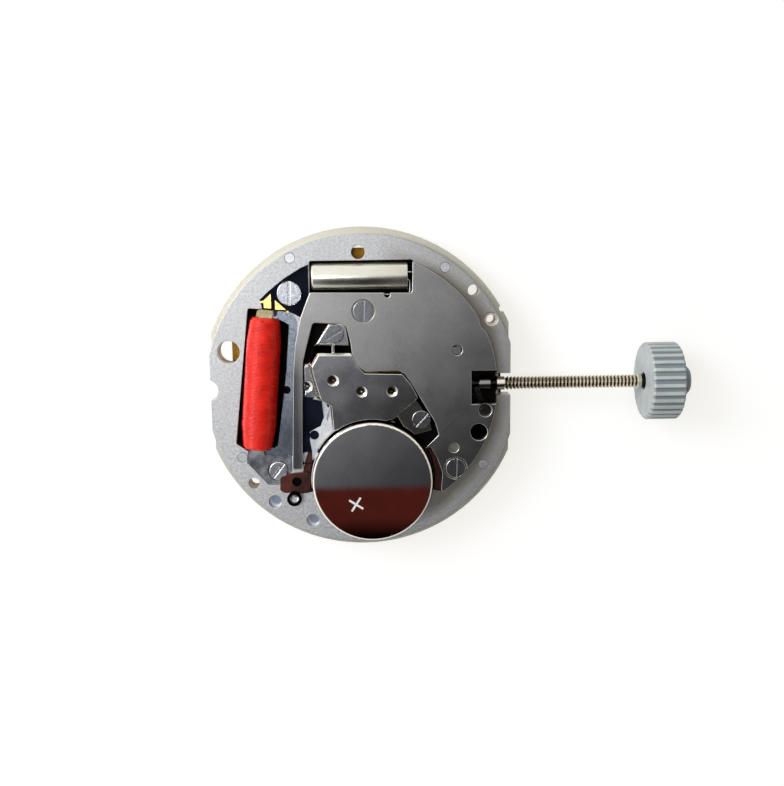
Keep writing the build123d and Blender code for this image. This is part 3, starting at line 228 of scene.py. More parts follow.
# places in millimetres. A hollow is its centre x and y, its reach, and its crescent's shift.
frostedNickel = {
    # deep, brown and holeShadeWarm are painted shade down in the plate
    "light": (0.74, 0.75, 0.77), "dark": (0.47, 0.48, 0.50), "deep": (0.006, 0.005, 0.005),
    "holeShadeWarm": (0.40, 0.21, 0.03), "brown": (0.13, 0.06, 0.01), "pale": (0.64, 0.62, 0.54),
    # right is painted shade on the ring's right side, and coverShadow a painted shadow beside the cover's
    # edge
    "coverShadow": (0.17, 0.15, 0.115), "dimple": (0.30, 0.34, 0.45), "right": (0.30, 0.295, 0.28),
    "grain": 6.0, "grainDetail": 4.0, "grainRoughness": 0.75, "frost": (0.36, 0.64),
    "depth": 0.016, "edge": 0.05, "roughness": (0.36, 0.5), "cloud": 0.35, "cloudShare": 0.25,
    "outside": (10.08, 10.15), "flange": (10.18, 10.23), "flats": (9.52, 9.58), "face": (1.40, 1.44),
    "notchReach": (8.84, 8.92), "notchHalf": (1.6, 1.5),
    "pockets": (8.28, 8.33), "rightPockets": (6.0, 6.2), "rightGrowth": 0.57,
    "coverShadowReach": (10.2, 9.5), "coverShadowCloud": 0.8, "coverShadowRight": (1.0, 5.0, 0.0, 0.8),
    "rightShade": (1.0, 8.0, 0.0, 0.6), "holeCloud": 1.3, "holeRange": (0.4, 0.6),
    "dimples": ((-5.916, -7.375, 0.42, 0.10, 0.12), (-3.417, -8.721, 0.42, 0.10, 0.12)),
    "dimplesBelow": (-4.0, -3.0), "dimpleFloor": (1.05, 1.1), "tabShadow": ((-4.33, -6.1, 0.5, 0, 0),),
}


def makePlateFinish(name, look):
    # frosted above and outside; black down in the pockets and brown in the ring's holes, both painted shade,
    # the brown standing for the shaded floor seen through the holes
    b = Board(bpy.data.materials.new(name))
    x, y, z = b.axes()
    grain = b.noise(look["grain"], look["grainDetail"], roughness=look["grainRoughness"])
    cloud = b.noise(look["cloud"])
    top = b.blend(b.spread(grain, *look["frost"]), look["dark"], look["light"])
    top = b.blend(b.spread(cloud, *noiseRange, 0.0, look["cloudShare"]), top, look["dark"])
    radius = b.away(x, y)
    # the walls of the notches on the stem's line and of the flats are frosted too
    across, along = b.math("ABSOLUTE", x), b.math("ABSOLUTE", y)
    notch = b.math("MULTIPLY", b.spread(across, *look["notchReach"]), b.spread(along, *look["notchHalf"]))
    notch = b.math("MAXIMUM", notch, b.spread(across, *look["flats"]))
    outside = b.math("MAXIMUM", b.spread(radius, *look["outside"]), notch)
    # painted shade darker to the right, a painted shadow band beside the cover's edge, and a paler flange
    shadowedReach = b.math("ADD", radius, b.math("MULTIPLY", cloud, look["coverShadowCloud"]))
    coverShadow = b.math("MULTIPLY", b.spread(shadowedReach, *look["coverShadowReach"]), b.spread(x, *look["coverShadowRight"]))
    top = b.blend(b.spread(x, *look["rightShade"]), top, look["right"])
    top = b.blend(coverShadow, top, look["coverShadow"])
    top = b.blend(b.spread(radius, *look["flange"]), top, look["pale"])
    # down in the plate: pockets and through holes in painted shade, and shallow dimples with painted shading
    right = b.math("MULTIPLY", b.spread(x, *look["rightPockets"]), look["rightGrowth"])
    outer = b.spread(b.math("SUBTRACT", radius, right), *look["pockets"])
    hole = b.blend(b.spread(b.noise(look["holeCloud"]), *look["holeRange"]), look["brown"], look["holeShadeWarm"])
    # the dimples are painted bluish inside, with a painted bright crescent on the far wall
    dimple = b.blend(b.crescents(look["dimples"])[1], look["dimple"], look["light"])
    ground = b.blend(b.spread(y, *look["dimplesBelow"]), dimple, look["pale"])
    hole = b.blend(b.spread(z, *look["dimpleFloor"]), hole, ground)
    frosted = b.math("MAXIMUM", outside, b.spread(z, *look["face"]))
    colour = b.blend(frosted, b.blend(outer, look["deep"], hole), top)
    # painted shadow on the plate under the tab
    colour = b.blend(b.crescents(look["tabShadow"])[0], colour, look["deep"])
    b.bump(grain, look["depth"], look["edge"])
    return b.finish(colour, b.spread(grain, *noiseRange, *look["roughness"]), 1.0)


# what a metal or a plastic has where its own row below doesn't say
plainMetal = {"stretch": (1, 1, 1), "turn": 0.0, "detail": 3.0, "cloud": 0.6, "mixed": (0.38, 0.62),
              "edge": 0.0, "bands": (), "shades": ()}
plainPlastic = {"grain": 8.0, "detail": 3.0, "cloud": 0.7, "mixed": (0.35, 0.65), "depth": 0.003,
                "edge": 0.04, "ior": 1.5, "coat": 0.0, "coatRoughness": 0.08}


def makeMetal(name, ownLook):
    # one metal: colour drift, grain or turning lines, and a painted tone on bevelled edges, bright as a
    # highlight or dark as a shade
    look = {**plainMetal, **ownLook}
    b = Board(bpy.data.materials.new(name))
    grain = b.noise(look["grain"], look["detail"], b.stretched(look["stretch"], look["turn"]))
    cloud = b.noise(look["cloud"])
    mean = b.math("MULTIPLY", b.math("ADD", cloud, grain), 0.5)
    colour = b.blend(b.spread(mean, *look["mixed"]), look["dark"], look["light"])
    for axis, low, high, tone in look["bands"]:
        # a stretch along one axis with its own tone: an engraved floor, or painted shade or highlight, such
        # as on a lower step or along the stem
        colour = b.blend(b.band(axis, low, high), colour, tone)
    # valleys: painted shade in a thread's valleys or between ribs
    if "valleys" in look:
        colour = b.blend(b.around(look["valleys"]), colour, look["valleys"]["tone"])
    for first, second, tone in look["shades"]:
        colour = b.shade(colour, first, second, tone)
    # rim: bevelled edges painted in their own tone, a painted highlight where bright and a painted shade
    # where dark
    if "rim" in look:
        colour = b.blend(b.slopes(), colour, look["rim"])
    # countersinks: painted shade inside, with a painted bright crescent in the rim's tone
    if "sinks" in look:
        inside, moon = b.crescents(look["sinks"])
        colour = b.blend(inside, colour, b.blend(moon, look["shadeTone"], look["rim"]))
    if "windows" in look:
        # the top face is painted near-black as the shade under the plate; the brown shows only under the
        # ring's holes, painted as the warm shade seen through them
        x, y, z = b.axes()
        aside = b.spread(z, *look["underside"])
        for centreX, centreY, low, high in look["windows"]:
            away = b.away(x, y, (centreX, centreY))
            aside = b.math("MULTIPLY", aside, b.spread(away, low, high))
        colour = b.blend(aside, colour, look["shadeTone"])
    b.bump(grain, look["depth"], look["edge"])
    material = b.finish(colour, b.spread(cloud, *noiseRange, *look["roughness"]), 1.0)
    if "matt" in look:
        # the engraved floor is matt and white, unlike the polished face
        b.join(b.math("SUBTRACT", 1.0, b.band(*look["matt"])), b.shader.inputs["Metallic"])
    return material


def makePlastic(name, ownLook):
    look = {**plainPlastic, **ownLook}
    b = Board(bpy.data.materials.new(name))
    grain = b.noise(look["grain"], look["detail"])
    colour = b.blend(b.spread(b.noise(look["cloud"]), *look["mixed"]), look["dark"], look["light"])
    # valleys: painted shade between ribs
    if "valleys" in look:
        colour = b.blend(b.around(look["valleys"]), colour, look["valleys"]["tone"])
    b.bump(grain, look["depth"], look["edge"])
    return b.finish(colour, b.spread(grain, *noiseRange, *look["roughness"]), 0.0, IOR=look["ior"],
                    Coat_Weight=look["coat"], Coat_Roughness=look["coatRoughness"])


# bands: axis, low, high and tone. shades, which are painted shade: two level directions, each x, y, low and
# high, and a tone.
# depth and edge are in millimetres, and so are all places
metals = {
    "satinSteel": {"light": (0.295, 0.29, 0.287), "dark": (0.258, 0.258, 0.262), "roughness": (0.26, 0.34),
                   "grain": 4.0, "depth": 0.001, "rim": (0.62, 0.62, 0.59),
                   # painted shade: darker to the lower right and on the cover's left arm
                   "shades": (((0.6, -0.8, -1.0, 7.0), (0, 0, -1, -0.5), (0.12, 0.12, 0.125)),
                              ((-1, 0, 3.6, 4.3), (0, -1, -3.4, -1.0), (0.08, 0.085, 0.095)))},
    "bridgeSteel": {"light": (0.215, 0.215, 0.225), "dark": (0.15, 0.15, 0.165), "roughness": (0.18, 0.27),
                    "grain": 9.0, "depth": 0.0018, "rim": (0.98, 0.96, 0.88), "shadeTone": (0.05, 0.045, 0.04),
                    # painted shade to the lower right
                    "shades": (((0.7, -0.7, -0.5, 3.5), (0, 0, -1, -0.5), (0.085, 0.085, 0.08)),),
                    # sinks: painted shade inside and a painted bright crescent
                    "sinks": ((-1.89, 0.76, 0.36, -0.09, 0.09), (-0.02, 0.01, 0.36, -0.09, 0.09),
                              (2.0, 0.01, 0.36, -0.09, 0.09), (-3.59, 0.35, 0.36, -0.09, 0.09)),
                    # bands: the lower step painted dark as shade, and a thin dark red line
                    "bands": ((2, 1.3, 1.66, (0.035, 0.04, 0.055)), (2, 1.73, 1.75, (0.06, 0.012, 0.008)))},
    # the sheet's top is painted: near-black as shade under the plate, brown under the ring's holes as the
    # shade seen through them; its underside is grey
    "sheetSteel": {"light": (0.42, 0.23, 0.035), "dark": (0.2, 0.1, 0.015), "roughness": (0.4, 0.5),
                   "grain": 5.0, "depth": 0.003, "bands": ((2, -0.1, 0.06, (0.5, 0.5, 0.5)),),
                   "windows": ((-8.64, 2.67, 0.85, 0.9), (-0.09, 9.01, 0.55, 0.6)),
                   "underside": (0.06, 0.08), "shadeTone": (0.006, 0.005, 0.005)},
    "studNickel": {"light": (0.72, 0.73, 0.75), "dark": (0.5, 0.51, 0.54), "roughness": (0.3, 0.4),
                   "grain": 9.0, "depth": 0.004, "rim": (0.2, 0.2, 0.2)},
    "pinionSteel": {"light": (0.07, 0.066, 0.06), "dark": (0.02, 0.018, 0.016), "roughness": (0.2, 0.3),
                    "grain": 6.0, "depth": 0.003, "edge": 0.04},
    "bluishNickel": {"light": (0.24, 0.265, 0.32), "dark": (0.13, 0.15, 0.19), "roughness": (0.2, 0.32),
                     "grain": 7.0, "depth": 0.004, "rim": (0.95, 0.96, 0.98)},
    "brightSteel": {"light": (0.70, 0.70, 0.70), "dark": (0.50, 0.51, 0.53), "roughness": (0.12, 0.2),
                    "grain": 10.0, "depth": 0.001, "edge": 0.04},
    "springSteel": {"light": (0.96, 0.97, 0.98), "dark": (0.66, 0.70, 0.78), "roughness": (0.24, 0.36),
                    "grain": 2.2, "depth": 0.006, "rim": (0.98, 0.98, 0.98)},
    "screwSteel": {"light": (0.42, 0.44, 0.48), "dark": (0.24, 0.255, 0.29), "roughness": (0.22, 0.32),
                   "grain": 5.0, "depth": 0.004, "rim": (0.98, 0.98, 0.98)},
    "darkScrewSteel": {"light": (0.17, 0.18, 0.195), "dark": (0.11, 0.12, 0.135), "roughness": (0.22, 0.3),
                       "grain": 5.0, "depth": 0.003, "rim": (0.5, 0.5, 0.5)},
    "rivetSteel": {"light": (0.88, 0.89, 0.92), "dark": (0.62, 0.64, 0.68), "roughness": (0.1, 0.16),
                   "grain": 5.0, "depth": 0.001, "bands": ((2, 1.6, 1.95, (0.012, 0.012, 0.014)),)},
    "darkRivetSteel": {"light": (0.24, 0.245, 0.235), "dark": (0.20, 0.205, 0.20), "roughness": (0.26, 0.34),
                       "grain": 4.0, "depth": 0.001, "rim": (0.07, 0.07, 0.075)},
    "cellSteel": {"light": (0.52, 0.515, 0.53), "dark": (0.42, 0.415, 0.43), "roughness": (0.008, 0.02),
                  "grain": 3.0, "stretch": (6, 0.06, 1), "turn": 0.9, "depth": 0.0001,
                  # rim: a painted highlight on the can's rounded edge
                  "rim": (0.98, 0.93, 0.80),
                  "bands": ((2, 2.55, 2.59, (0.85, 0.85, 0.85)),), "matt": (2, 2.55, 2.59)},
    "canSteel": {"light": (1.0, 0.98, 0.86), "dark": (0.93, 0.91, 0.80), "roughness": (0.2, 0.28),
                 "grain": 3.0, "stretch": (5, 0.2, 0.2), "depth": 0.002},
    "stemSteel": {"light": (0.80, 0.74, 0.62), "dark": (0.6, 0.54, 0.43), "roughness": (0.14, 0.22),
                  "grain": 8.0, "depth": 0.002,
                  # painted shade in the thread's valleys
                  "valleys": {"line": (0.3, 0.95), "from": (9.3, 9.5), "reach": (0.43, 0.37),
                              "tone": (0.085, 0.062, 0.038)},
                  # painted: black as shade from 3.0 to 7.74, 8.45 to 8.9 and near the knob, a dim collar, and
                  # a painted cream highlight from 8.9 to 9.4
                  "bands": ((0, 3.0, 7.74, (0.02, 0.02, 0.02)), (0, 7.74, 8.45, (0.36, 0.35, 0.33)),
                            (0, 8.45, 8.9, (0.02, 0.02, 0.02)), (0, 8.9, 9.4, (1.0, 0.97, 0.86)),
                            (0, 18.45, 20.0, (0.02, 0.018, 0.018)))},
    "wheelBrass": {"light": (0.46, 0.31, 0.11), "dark": (0.24, 0.15, 0.045), "roughness": (0.2, 0.3),
                   "grain": 10.0, "depth": 0.002, "edge": 0.02},
    # a darker copy of wheelBrass: painted shade for the wheels seen under the bridge
    "shadedBrass": {"light": (0.15, 0.10, 0.035), "dark": (0.07, 0.045, 0.015), "roughness": (0.25, 0.35),
                  "grain": 10.0, "depth": 0.002, "edge": 0.02},
    "giltPad": {"light": (0.95, 0.70, 0.28), "dark": (0.70, 0.44, 0.12), "roughness": (0.2, 0.3),
                "grain": 5.0, "depth": 0.003, "edge": 0.02},
    "coreIron": {"light": (0.42, 0.44, 0.48), "dark": (0.12, 0.13, 0.155), "roughness": (0.18, 0.32),
                 "grain": 2.5, "depth": 0.006, "rim": (0.95, 0.95, 0.9),
                 # painted shade: near-black in the corner beside the coil
                 "shades": (((1, 0, -5.75, -5.6), (0, 1, 2.6, 3.4), (0.015, 0.015, 0.02)),),
                 "bands": ((1, 4.0, 9.0, (0.26, 0.22, 0.13)),)},
    "magnetBlack": {"light": (0.16, 0.16, 0.17), "dark": (0.08, 0.08, 0.09), "roughness": (0.3, 0.45),
                    "grain": 12.0, "depth": 0.003, "edge": 0.02},
}
plastics = {
    "boardLacquer": {"light": (0.008, 0.011, 0.022), "dark": (0.003, 0.004, 0.009), "roughness": (0.45, 0.6),
                     "ior": 1.1},
    "chipResin": {"light": (0.02, 0.02, 0.02), "dark": (0.01, 0.01, 0.01), "roughness": (0.35, 0.5)},
    "brownPlastic": {"light": (0.085, 0.018, 0.010), "dark": (0.025, 0.006, 0.005), "roughness": (0.25, 0.4),
                     "ior": 1.35},
    "knobPlastic": {"light": (0.53, 0.575, 0.56), "dark": (0.43, 0.48, 0.48), "roughness": (0.42, 0.55),
                    "edge": 0.08,
                    # painted shade deeper than 2.42 from the stem's line, between the knob's ribs
                    "valleys": {"line": (0.3, 0.95), "from": (18.8, 18.85), "reach": (2.54, 2.42),
                                "tone": (0.22, 0.27, 0.30)}},
    "sealPlastic": {"light": (0.30, 0.22, 0.12), "dark": (0.2, 0.14, 0.07), "roughness": (0.35, 0.5)},
    "feltWhite": {"light": (0.8, 0.78, 0.74), "dark": (0.6, 0.58, 0.54), "roughness": (0.8, 0.9)},
    "cellPowder": {"light": (0.09, 0.09, 0.1), "dark": (0.04, 0.04, 0.045), "roughness": (0.7, 0.85)},
    "coilLacquer": {"light": (0.92, 0.022, 0.008), "dark": (0.70, 0.010, 0.004), "roughness": (0.2, 0.32),
                    "cloud": 1.4, "grain": 5.0, "depth": 0.001, "edge": 0.0, "coat": 0.35, "ior": 1.35},
}
finishes = {name: makeMetal(name, look) for name, look in metals.items()}
finishes.update({name: makePlastic(name, look) for name, look in plastics.items()})
finishes["frostedNickel"] = makePlateFinish("frostedNickel", frostedNickel)

wornBy = {
    "frostedNickel": ["main_plate"],
    "satinSteel": ["module_cover"],
    "darkRivetSteel": ["cover_rivet"],
    "bridgeSteel": ["train_bridge"],
    "sheetSteel": ["dial_side_sheet"],
    "pinionSteel": ["yoke", "setting_lever", "sliding_pinion", "negative_contact"],
    "rivetSteel": ["contact_rivet"],
    "studNickel": ["plate_studs"],
    "bluishNickel": ["stator"],
    "brightSteel": ["centre_tube", "rotor_pinion", "second_arbor", "cannon_pinion", "setting_wheel",
                    "crystal_leads", "battery_cap"],
    "springSteel": ["positive_contact", "setting_lever_spring"],
    "screwSteel": ["coil_screw", "board_screw", "dial_side_screws"],
    "darkScrewSteel": ["cover_screws", "bridge_screws"],
    "cellSteel": ["battery_can"],
    "canSteel": ["crystal_can"],
    "stemSteel": ["winding_stem"],
    "wheelBrass": ["intermediate_wheel", "minute_wheel", "hour_wheel"],
    "shadedBrass": ["second_wheel", "third_wheel", "centre_wheel"],
    "giltPad": ["circuit_pads"],
    "coreIron": ["coil_core"],
    "magnetBlack": ["rotor_magnet"],
    "boardLacquer": ["circuit_board"],
    "chipResin": ["integrated_circuit"],
    "brownPlastic": ["battery_insulator"],
    "knobPlastic": ["setting_knob"],
    "sealPlastic": ["battery_gasket"],
    "feltWhite": ["battery_separator"],
    "cellPowder": ["battery_anode", "battery_cathode"],
    "coilLacquer": ["coil_winding", "coil_outer_layer"],
}
for name, wearers in wornBy.items():
    for wearer in wearers:
        mesh = nodes[wearer].data
        mesh.materials.clear()
        mesh.materials.append(finishes[name])
print("finishes on", sum(len(w) for w in wornBy.values()), "nodes")

# the coil: fine turns wound over a drum that swells in the middle, all in millimetres
coil = {
    "low": (-6.977, -3.754), "top": (-6.191, 4.865), "height": 1.35, "endRadius": 0.90, "midRadius": 1.08,
    "swell": 1.9, "wire": 0.056, "pitch": 0.088, "margin": 0.12, "steps": 28, "sides": 8, "stray": 0.012,
    "seed": 7, "drumSides": 48, "drumCuts": 24, "drumSunk": 0.6, "merge": 1e-5,
}


def coilRadius(along):
    # along runs from 0 at one end to 1 at the other
    swell = min(1.0, sin(pi * min(max(along, 0.0), 1.0)) * coil["swell"])
    return coil["endRadius"] + (coil["midRadius"] - coil["endRadius"]) * swell


def windWire(look, length, turns):
    # one round section is swept into all turns, which then follow the swell and stray a little
    dice = random.Random(look["seed"])
    bpy.ops.object.select_all(action="DESELECT")
    bpy.ops.mesh.primitive_circle_add(vertices=look["sides"], radius=look["wire"] * mm,
                                      location=(look["endRadius"] * mm, 0, look["margin"] * mm),
                                      rotation=(pi / 2, 0, 0))
    wire = bpy.context.object
    bpy.ops.object.transform_apply(location=True, rotation=True, scale=True)
    screw = wire.modifiers.new("turns", "SCREW")
    screw.axis = "Z"
    screw.angle = 2 * pi
    screw.screw_offset = look["pitch"] * mm
    screw.iterations = turns
    screw.steps = screw.render_steps = look["steps"]
    bpy.ops.object.modifier_apply(modifier="turns")
    # both cut ends of the wire are closed
    bpy.ops.object.mode_set(mode="EDIT")
    bpy.ops.mesh.select_all(action="SELECT")
    bpy.ops.mesh.remove_doubles(threshold=look["merge"] * mm)
    bpy.ops.mesh.fill_holes(sides=look["sides"])
    bpy.ops.mesh.select_all(action="SELECT")
    bpy.ops.mesh.normals_make_consistent(inside=False)
    bpy.ops.object.mode_set(mode="OBJECT")
    stray = [dice.uniform(-1, 1) * look["stray"] for _ in range(turns + 2)]
    for vertex in wire.data.vertices:
        x, y, z = vertex.co
        turn = (z / mm - look["margin"]) / look["pitch"]
        nearest = int(min(max(turn, 0), turns))
        share = min(max(turn - nearest, 0), 1)
        offset = stray[nearest] * (1 - share) + stray[nearest + 1] * share
        reach = hypot(x, y)
        grown = reach + (coilRadius(z / mm / length) - look["endRadius"] + offset) * mm
        vertex.co = (x / reach * grown, y / reach * grown, z)
    return wire


def makeDrum(look, length):
    bpy.ops.mesh.primitive_cylinder_add(vertices=look["drumSides"], radius=look["endRadius"] * mm,
                                        depth=length * mm, location=(0, 0, length / 2 * mm))
    drum = bpy.context.object
    bpy.ops.object.transform_apply(location=True, rotation=True, scale=True)
    bpy.ops.object.mode_set(mode="EDIT")
    for cut in range(1, look["drumCuts"]):
        bpy.ops.mesh.select_all(action="SELECT")
        height = length * cut / look["drumCuts"] * mm
        bpy.ops.mesh.bisect(plane_co=(0, 0, height), plane_no=(0, 0, 1))
    bpy.ops.object.mode_set(mode="OBJECT")
    for vertex in drum.data.vertices:
        x, y, z = vertex.co
        reach = hypot(x, y)
        grown = (coilRadius(z / mm / length) - look["wire"] * look["drumSunk"]) * mm
        vertex.co = (x / reach * grown, y / reach * grown, z)
    return drum


def makeCoil(look):
    low, top = Vector(look["low"]), Vector(look["top"])
    length = (top - low).length
    turns = int((length - 2 * look["margin"]) / look["pitch"])
    wire = windWire(look, length, turns)
    drum = makeDrum(look, length)
    drum.select_set(True)
    wire.select_set(True)
    bpy.context.view_layer.objects.active = wire
    bpy.ops.object.join()
    wire.name = wire.data.name = "coilTurns"
    # wound upright, then laid along its core
    way = (top - low).normalized()
    turned = Matrix(((0, way.y, way.x), (0, -way.x, way.y), (1, 0, 0))).to_4x4()
    wire.data.transform(Matrix.Translation((low.x * mm, low.y * mm, look["height"] * mm)) @ turned)
    bpy.ops.object.shade_smooth()
    wire.data.materials.clear()
    wire.data.materials.append(finishes["coilLacquer"])
    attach(wire, "movement")
    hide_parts("coil_winding", "coil_outer_layer")
    print("coil with", turns, "turns,", len(wire.data.vertices), "points")


makeCoil(coil)

# the crystal's can: a drawn tube with a rounded end and a pressed-in base. Angles are in degrees.
can = {
    "segments": 96, "round": 0.16, "roundSteps": 6, "rim": 0.05, "rimBevel": 0.025, "rimSteps": 3,
    "rimAngle": 50, "baseDepth": 0.12, "baseRise": 0.072, "baseShare": 0.9, "smoothAngle": 35,
    "facing": 0.9, "near": 0.001,
}


def makeCrystalCan(look):
    low, high = (Vector(v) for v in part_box("crystal_can"))
    radius = (high.z - low.z) / 2
    bpy.ops.object.select_all(action="DESELECT")
    bpy.ops.mesh.primitive_cylinder_add(vertices=look["segments"], radius=radius, depth=high.x - low.x,
                                        location=(low + high) / 2, rotation=(0, pi / 2, 0))
    tube = bpy.context.object
    bpy.ops.object.transform_apply(location=True, rotation=True, scale=True)
    # the base is at the right end
    bpy.ops.object.mode_set(mode="EDIT")
    mesh = bmesh.from_edit_mesh(tube.data)
    for face in mesh.faces:
        face.select = face.normal.x > look["facing"]
    bmesh.update_edit_mesh(tube.data)
    bpy.ops.mesh.inset(thickness=radius * (1 - look["baseShare"]))
    bpy.ops.mesh.extrude_region_move(TRANSFORM_OT_translate={"value": (-look["baseDepth"] * mm, 0, 0)})
    bpy.ops.mesh.inset(thickness=look["rim"] * mm)
    bpy.ops.mesh.extrude_region_move(TRANSFORM_OT_translate={"value": (look["baseRise"] * mm, 0, 0)})
    # the left end is rounded
    mesh = bmesh.from_edit_mesh(tube.data)
    for edge in mesh.edges:
        edge.select = all(abs(v.co.x - low.x) < look["near"] * mm for v in edge.verts)
    bmesh.update_edit_mesh(tube.data)
    bpy.ops.mesh.bevel(offset=look["round"] * mm, segments=look["roundSteps"], affect="EDGES")
    bpy.ops.object.mode_set(mode="OBJECT")
    rim = tube.modifiers.new("rim", "BEVEL")
    rim.width = look["rimBevel"] * mm
    rim.segments = look["rimSteps"]
    rim.limit_method = "ANGLE"
    rim.angle_limit = radians(look["rimAngle"])
    bpy.ops.object.modifier_apply(modifier="rim")
    bpy.ops.object.shade_smooth_by_angle(angle=radians(look["smoothAngle"]))
    tube.name = tube.data.name = "crystalCan"
    tube.data.materials.append(finishes["canSteel"])
    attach(tube, "movement")
    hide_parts("crystal_can")
    print("crystal can made")


makeCrystalCan(can)

# sharp CAD edges get a small real bevel, on a copy that stands for its node: its width in millimetres,
# and its manner. cleaned: level faces are joined first. careful: it stays narrow where edges are short.
worked = {
    "coverWorked": ("module_cover", 0.045, "cleaned"),
    "bridgeWorked": ("train_bridge", 0.035, "cleaned"),
    "statorWorked": ("stator", 0.03, "careful"),
    "coreWorked": ("coil_core", 0.03, "careful"),
    "boardWorked": ("circuit_board", 0.02, "careful"),
    "clipWorked": ("positive_contact", 0.02, "careful"),
    "coverScrewsWorked": ("cover_screws", 0.025, "free"),
    "bridgeScrewsWorked": ("bridge_screws", 0.025, "free"),
    "coilScrewWorked": ("coil_screw", 0.025, "free"),
    "boardScrewWorked": ("board_screw", 0.03, "free"),
    "insulatorWorked": ("battery_insulator", 0.03, "careful"),
    "studsWorked": ("plate_studs", 0.03, "cleaned"),
    "coverRivetWorked": ("cover_rivet", 0.04, "free"),
}
wear = {"merge": 1e-4, "flatAngle": 0.5, "smoothAngle": 18, "bevelAngle": 40, "steps": 2}


def makeWorked(name, node, width, manner):
    source = nodes[node]
    piece = bpy.data.objects.new(name, source.data.copy())
    bpy.context.scene.collection.objects.link(piece)
    bpy.ops.object.select_all(action="DESELECT")
    piece.select_set(True)
    bpy.context.view_layer.objects.active = piece
    bpy.ops.mesh.customdata_custom_splitnormals_clear()
    bpy.ops.object.mode_set(mode="EDIT")
    bpy.ops.mesh.select_all(action="SELECT")
    bpy.ops.mesh.remove_doubles(threshold=wear["merge"] * mm)
    if manner == "cleaned":
        bpy.ops.mesh.dissolve_limited(angle_limit=radians(wear["flatAngle"]))
    bpy.ops.object.mode_set(mode="OBJECT")
    bpy.ops.object.shade_smooth_by_angle(angle=radians(wear["smoothAngle"]))
    bevel = piece.modifiers.new("worn", "BEVEL")
    bevel.width = width * mm
    bevel.segments = wear["steps"]
    bevel.harden_normals = True
    bevel.use_clamp_overlap = manner == "careful"
    bevel.limit_method = "ANGLE"
    bevel.angle_limit = radians(wear["bevelAngle"])
    bpy.ops.object.modifier_apply(modifier="worn")
    piece.data.materials.clear()
    piece.data.materials.append(source.data.materials[0])
    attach(piece, next(body for body, held in record["behaviour"]["bodies"].items() if node in held))
    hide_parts(node)


for name, (node, width, manner) in worked.items():
    makeWorked(name, node, width, manner)
print("worked edges on", len(worked), "pieces")

# floor and light. The sky is white, greyer to the right, with one dark patch and one brown one that metals
# mirror. Lamps are in millimetres, the dark patch in degrees, the brown one in slopes of the way up to it.
stage = {
    "floor": -1.62, "size": 1.6, "glow": (0.74, 0.73, 0.66), "floorColour": (0.31, 0.32, 0.40),
    "floorCloud": 0.05, "floorRoughness": (0.85, 0.95),
    "key": {"place": (-230, 120, 210), "size": (150, 150), "power": 0.6, "colour": (1.0, 0.985, 0.96)},
    "strip": {"place": (-100, 8, 280), "size": (26, 190), "power": 0.09, "colour": (1.0, 1.0, 1.0)},
    "sky": 0.85, "white": (1.0, 1.0, 1.0), "horizon": 0.001,
    "dusk": {"range": (0.05, 0.6), "colour": (0.40, 0.36, 0.30)},
    "patch": {"centre": (0.48, -0.85, 1.0), "inner": 30.0, "outer": 50.0, "colour": (0.085, 0.085, 0.09)},
    "brown": {"top": (-0.2535, -0.2595), "left": (-0.18, -0.16), "right": (0.30, 0.28), "end": (-3.0, -2.9),
              "low": (-0.31, -0.29), "colour": (0.15, 0.026, 0.017), "lowColour": (0.002, 0.002, 0.002)},
}


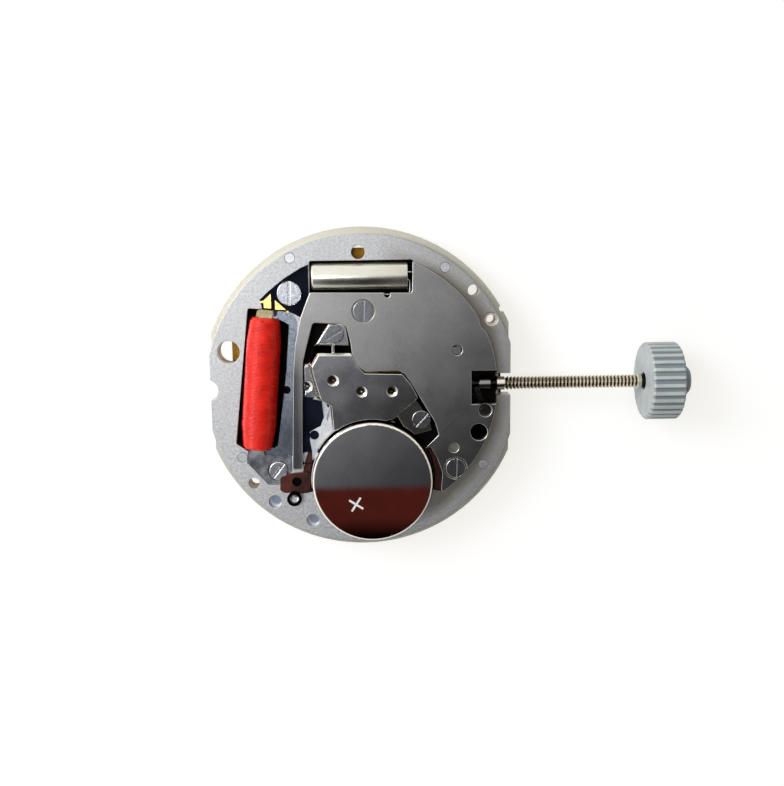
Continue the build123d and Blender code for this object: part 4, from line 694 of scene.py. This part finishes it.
def makeFloor():
    bpy.ops.mesh.primitive_plane_add(size=stage["size"], location=(0, 0, stage["floor"] * mm))
    floor = bpy.context.object
    floor.name = "paleFloor"
    b = Board(bpy.data.materials.new("paleFloor"))
    # it glows only for the camera and for what gloss and glass show, and keeps the shadow
    glow = b.add("ShaderNodeEmission")
    b.feed(stage["glow"], glow.inputs["Color"])
    path = b.add("ShaderNodeLightPath").outputs
    mirrored = b.math("MAXIMUM", path["Is Glossy Ray"], path["Is Transmission Ray"])
    b.join(b.math("MAXIMUM", path["Is Camera Ray"], mirrored), glow.inputs["Strength"])
    roughness = b.spread(b.noise(stage["floorCloud"]), *noiseRange, *stage["floorRoughness"])
    material = b.finish(stage["floorColour"], roughness, 0.0)
    both = b.add("ShaderNodeAddShader")
    b.join(b.shader.outputs[0], both.inputs[0])
    b.join(glow.outputs[0], both.inputs[1])
    b.join(both.outputs[0], b.tree.nodes["Material Output"].inputs["Surface"])
    floor.data.materials.append(material)


def makeLamp(name, look):
    lamp = bpy.data.lights.new(name, "AREA")
    lamp.shape = "RECTANGLE"
    lamp.size, lamp.size_y = (v * mm for v in look["size"])
    lamp.energy = look["power"]
    lamp.color = look["colour"]
    holder = bpy.data.objects.new(name, lamp)
    bpy.context.scene.collection.objects.link(holder)
    holder.location = [v * mm for v in look["place"]]
    holder.rotation_euler = Vector(look["place"]).to_track_quat("Z", "Y").to_euler()


def makeSky():
    world = bpy.data.worlds.new("studio")
    b = Board(world)
    patch, brown, dusk = stage["patch"], stage["brown"], stage["dusk"]
    way = b.add("ShaderNodeTexCoord").outputs["Generated"]
    x, y, z = b.axes(way)
    aim = b.add("ShaderNodeVectorMath", operation="DOT_PRODUCT")
    b.join(way, aim.inputs[0])
    aim.inputs[1].default_value = Vector(patch["centre"]).normalized()
    ramp = b.add("ShaderNodeMapRange", interpolation_type="SMOOTHSTEP")
    b.join(b.math("DEGREES", b.math("ARCCOSINE", aim.outputs["Value"])), ramp.inputs["Value"])
    ramp.inputs["From Min"].default_value = patch["inner"]
    ramp.inputs["From Max"].default_value = patch["outer"]
    white = b.blend(b.spread(x, *dusk["range"]), stage["white"], dusk["colour"])
    colour = b.blend(ramp.outputs["Result"], patch["colour"], white)
    height = b.math("MAXIMUM", z, stage["horizon"])
    across, along = b.math("DIVIDE", x, height), b.math("DIVIDE", y, height)
    inside = b.spread(along, *brown["top"])
    for value, side in ((across, "left"), (across, "right"), (along, "end")):
        inside = b.math("MULTIPLY", inside, b.spread(value, *brown[side]))
    deep = b.blend(b.spread(along, *brown["low"]), brown["lowColour"], brown["colour"])
    background = b.tree.nodes["Background"]
    b.join(b.blend(inside, colour, deep), background.inputs["Color"])
    background.inputs["Strength"].default_value = stage["sky"]
    bpy.context.scene.world = world


makeFloor()
makeLamp("keyLamp", stage["key"])
makeLamp("stripLamp", stage["strip"])
makeSky()
print("stage set")
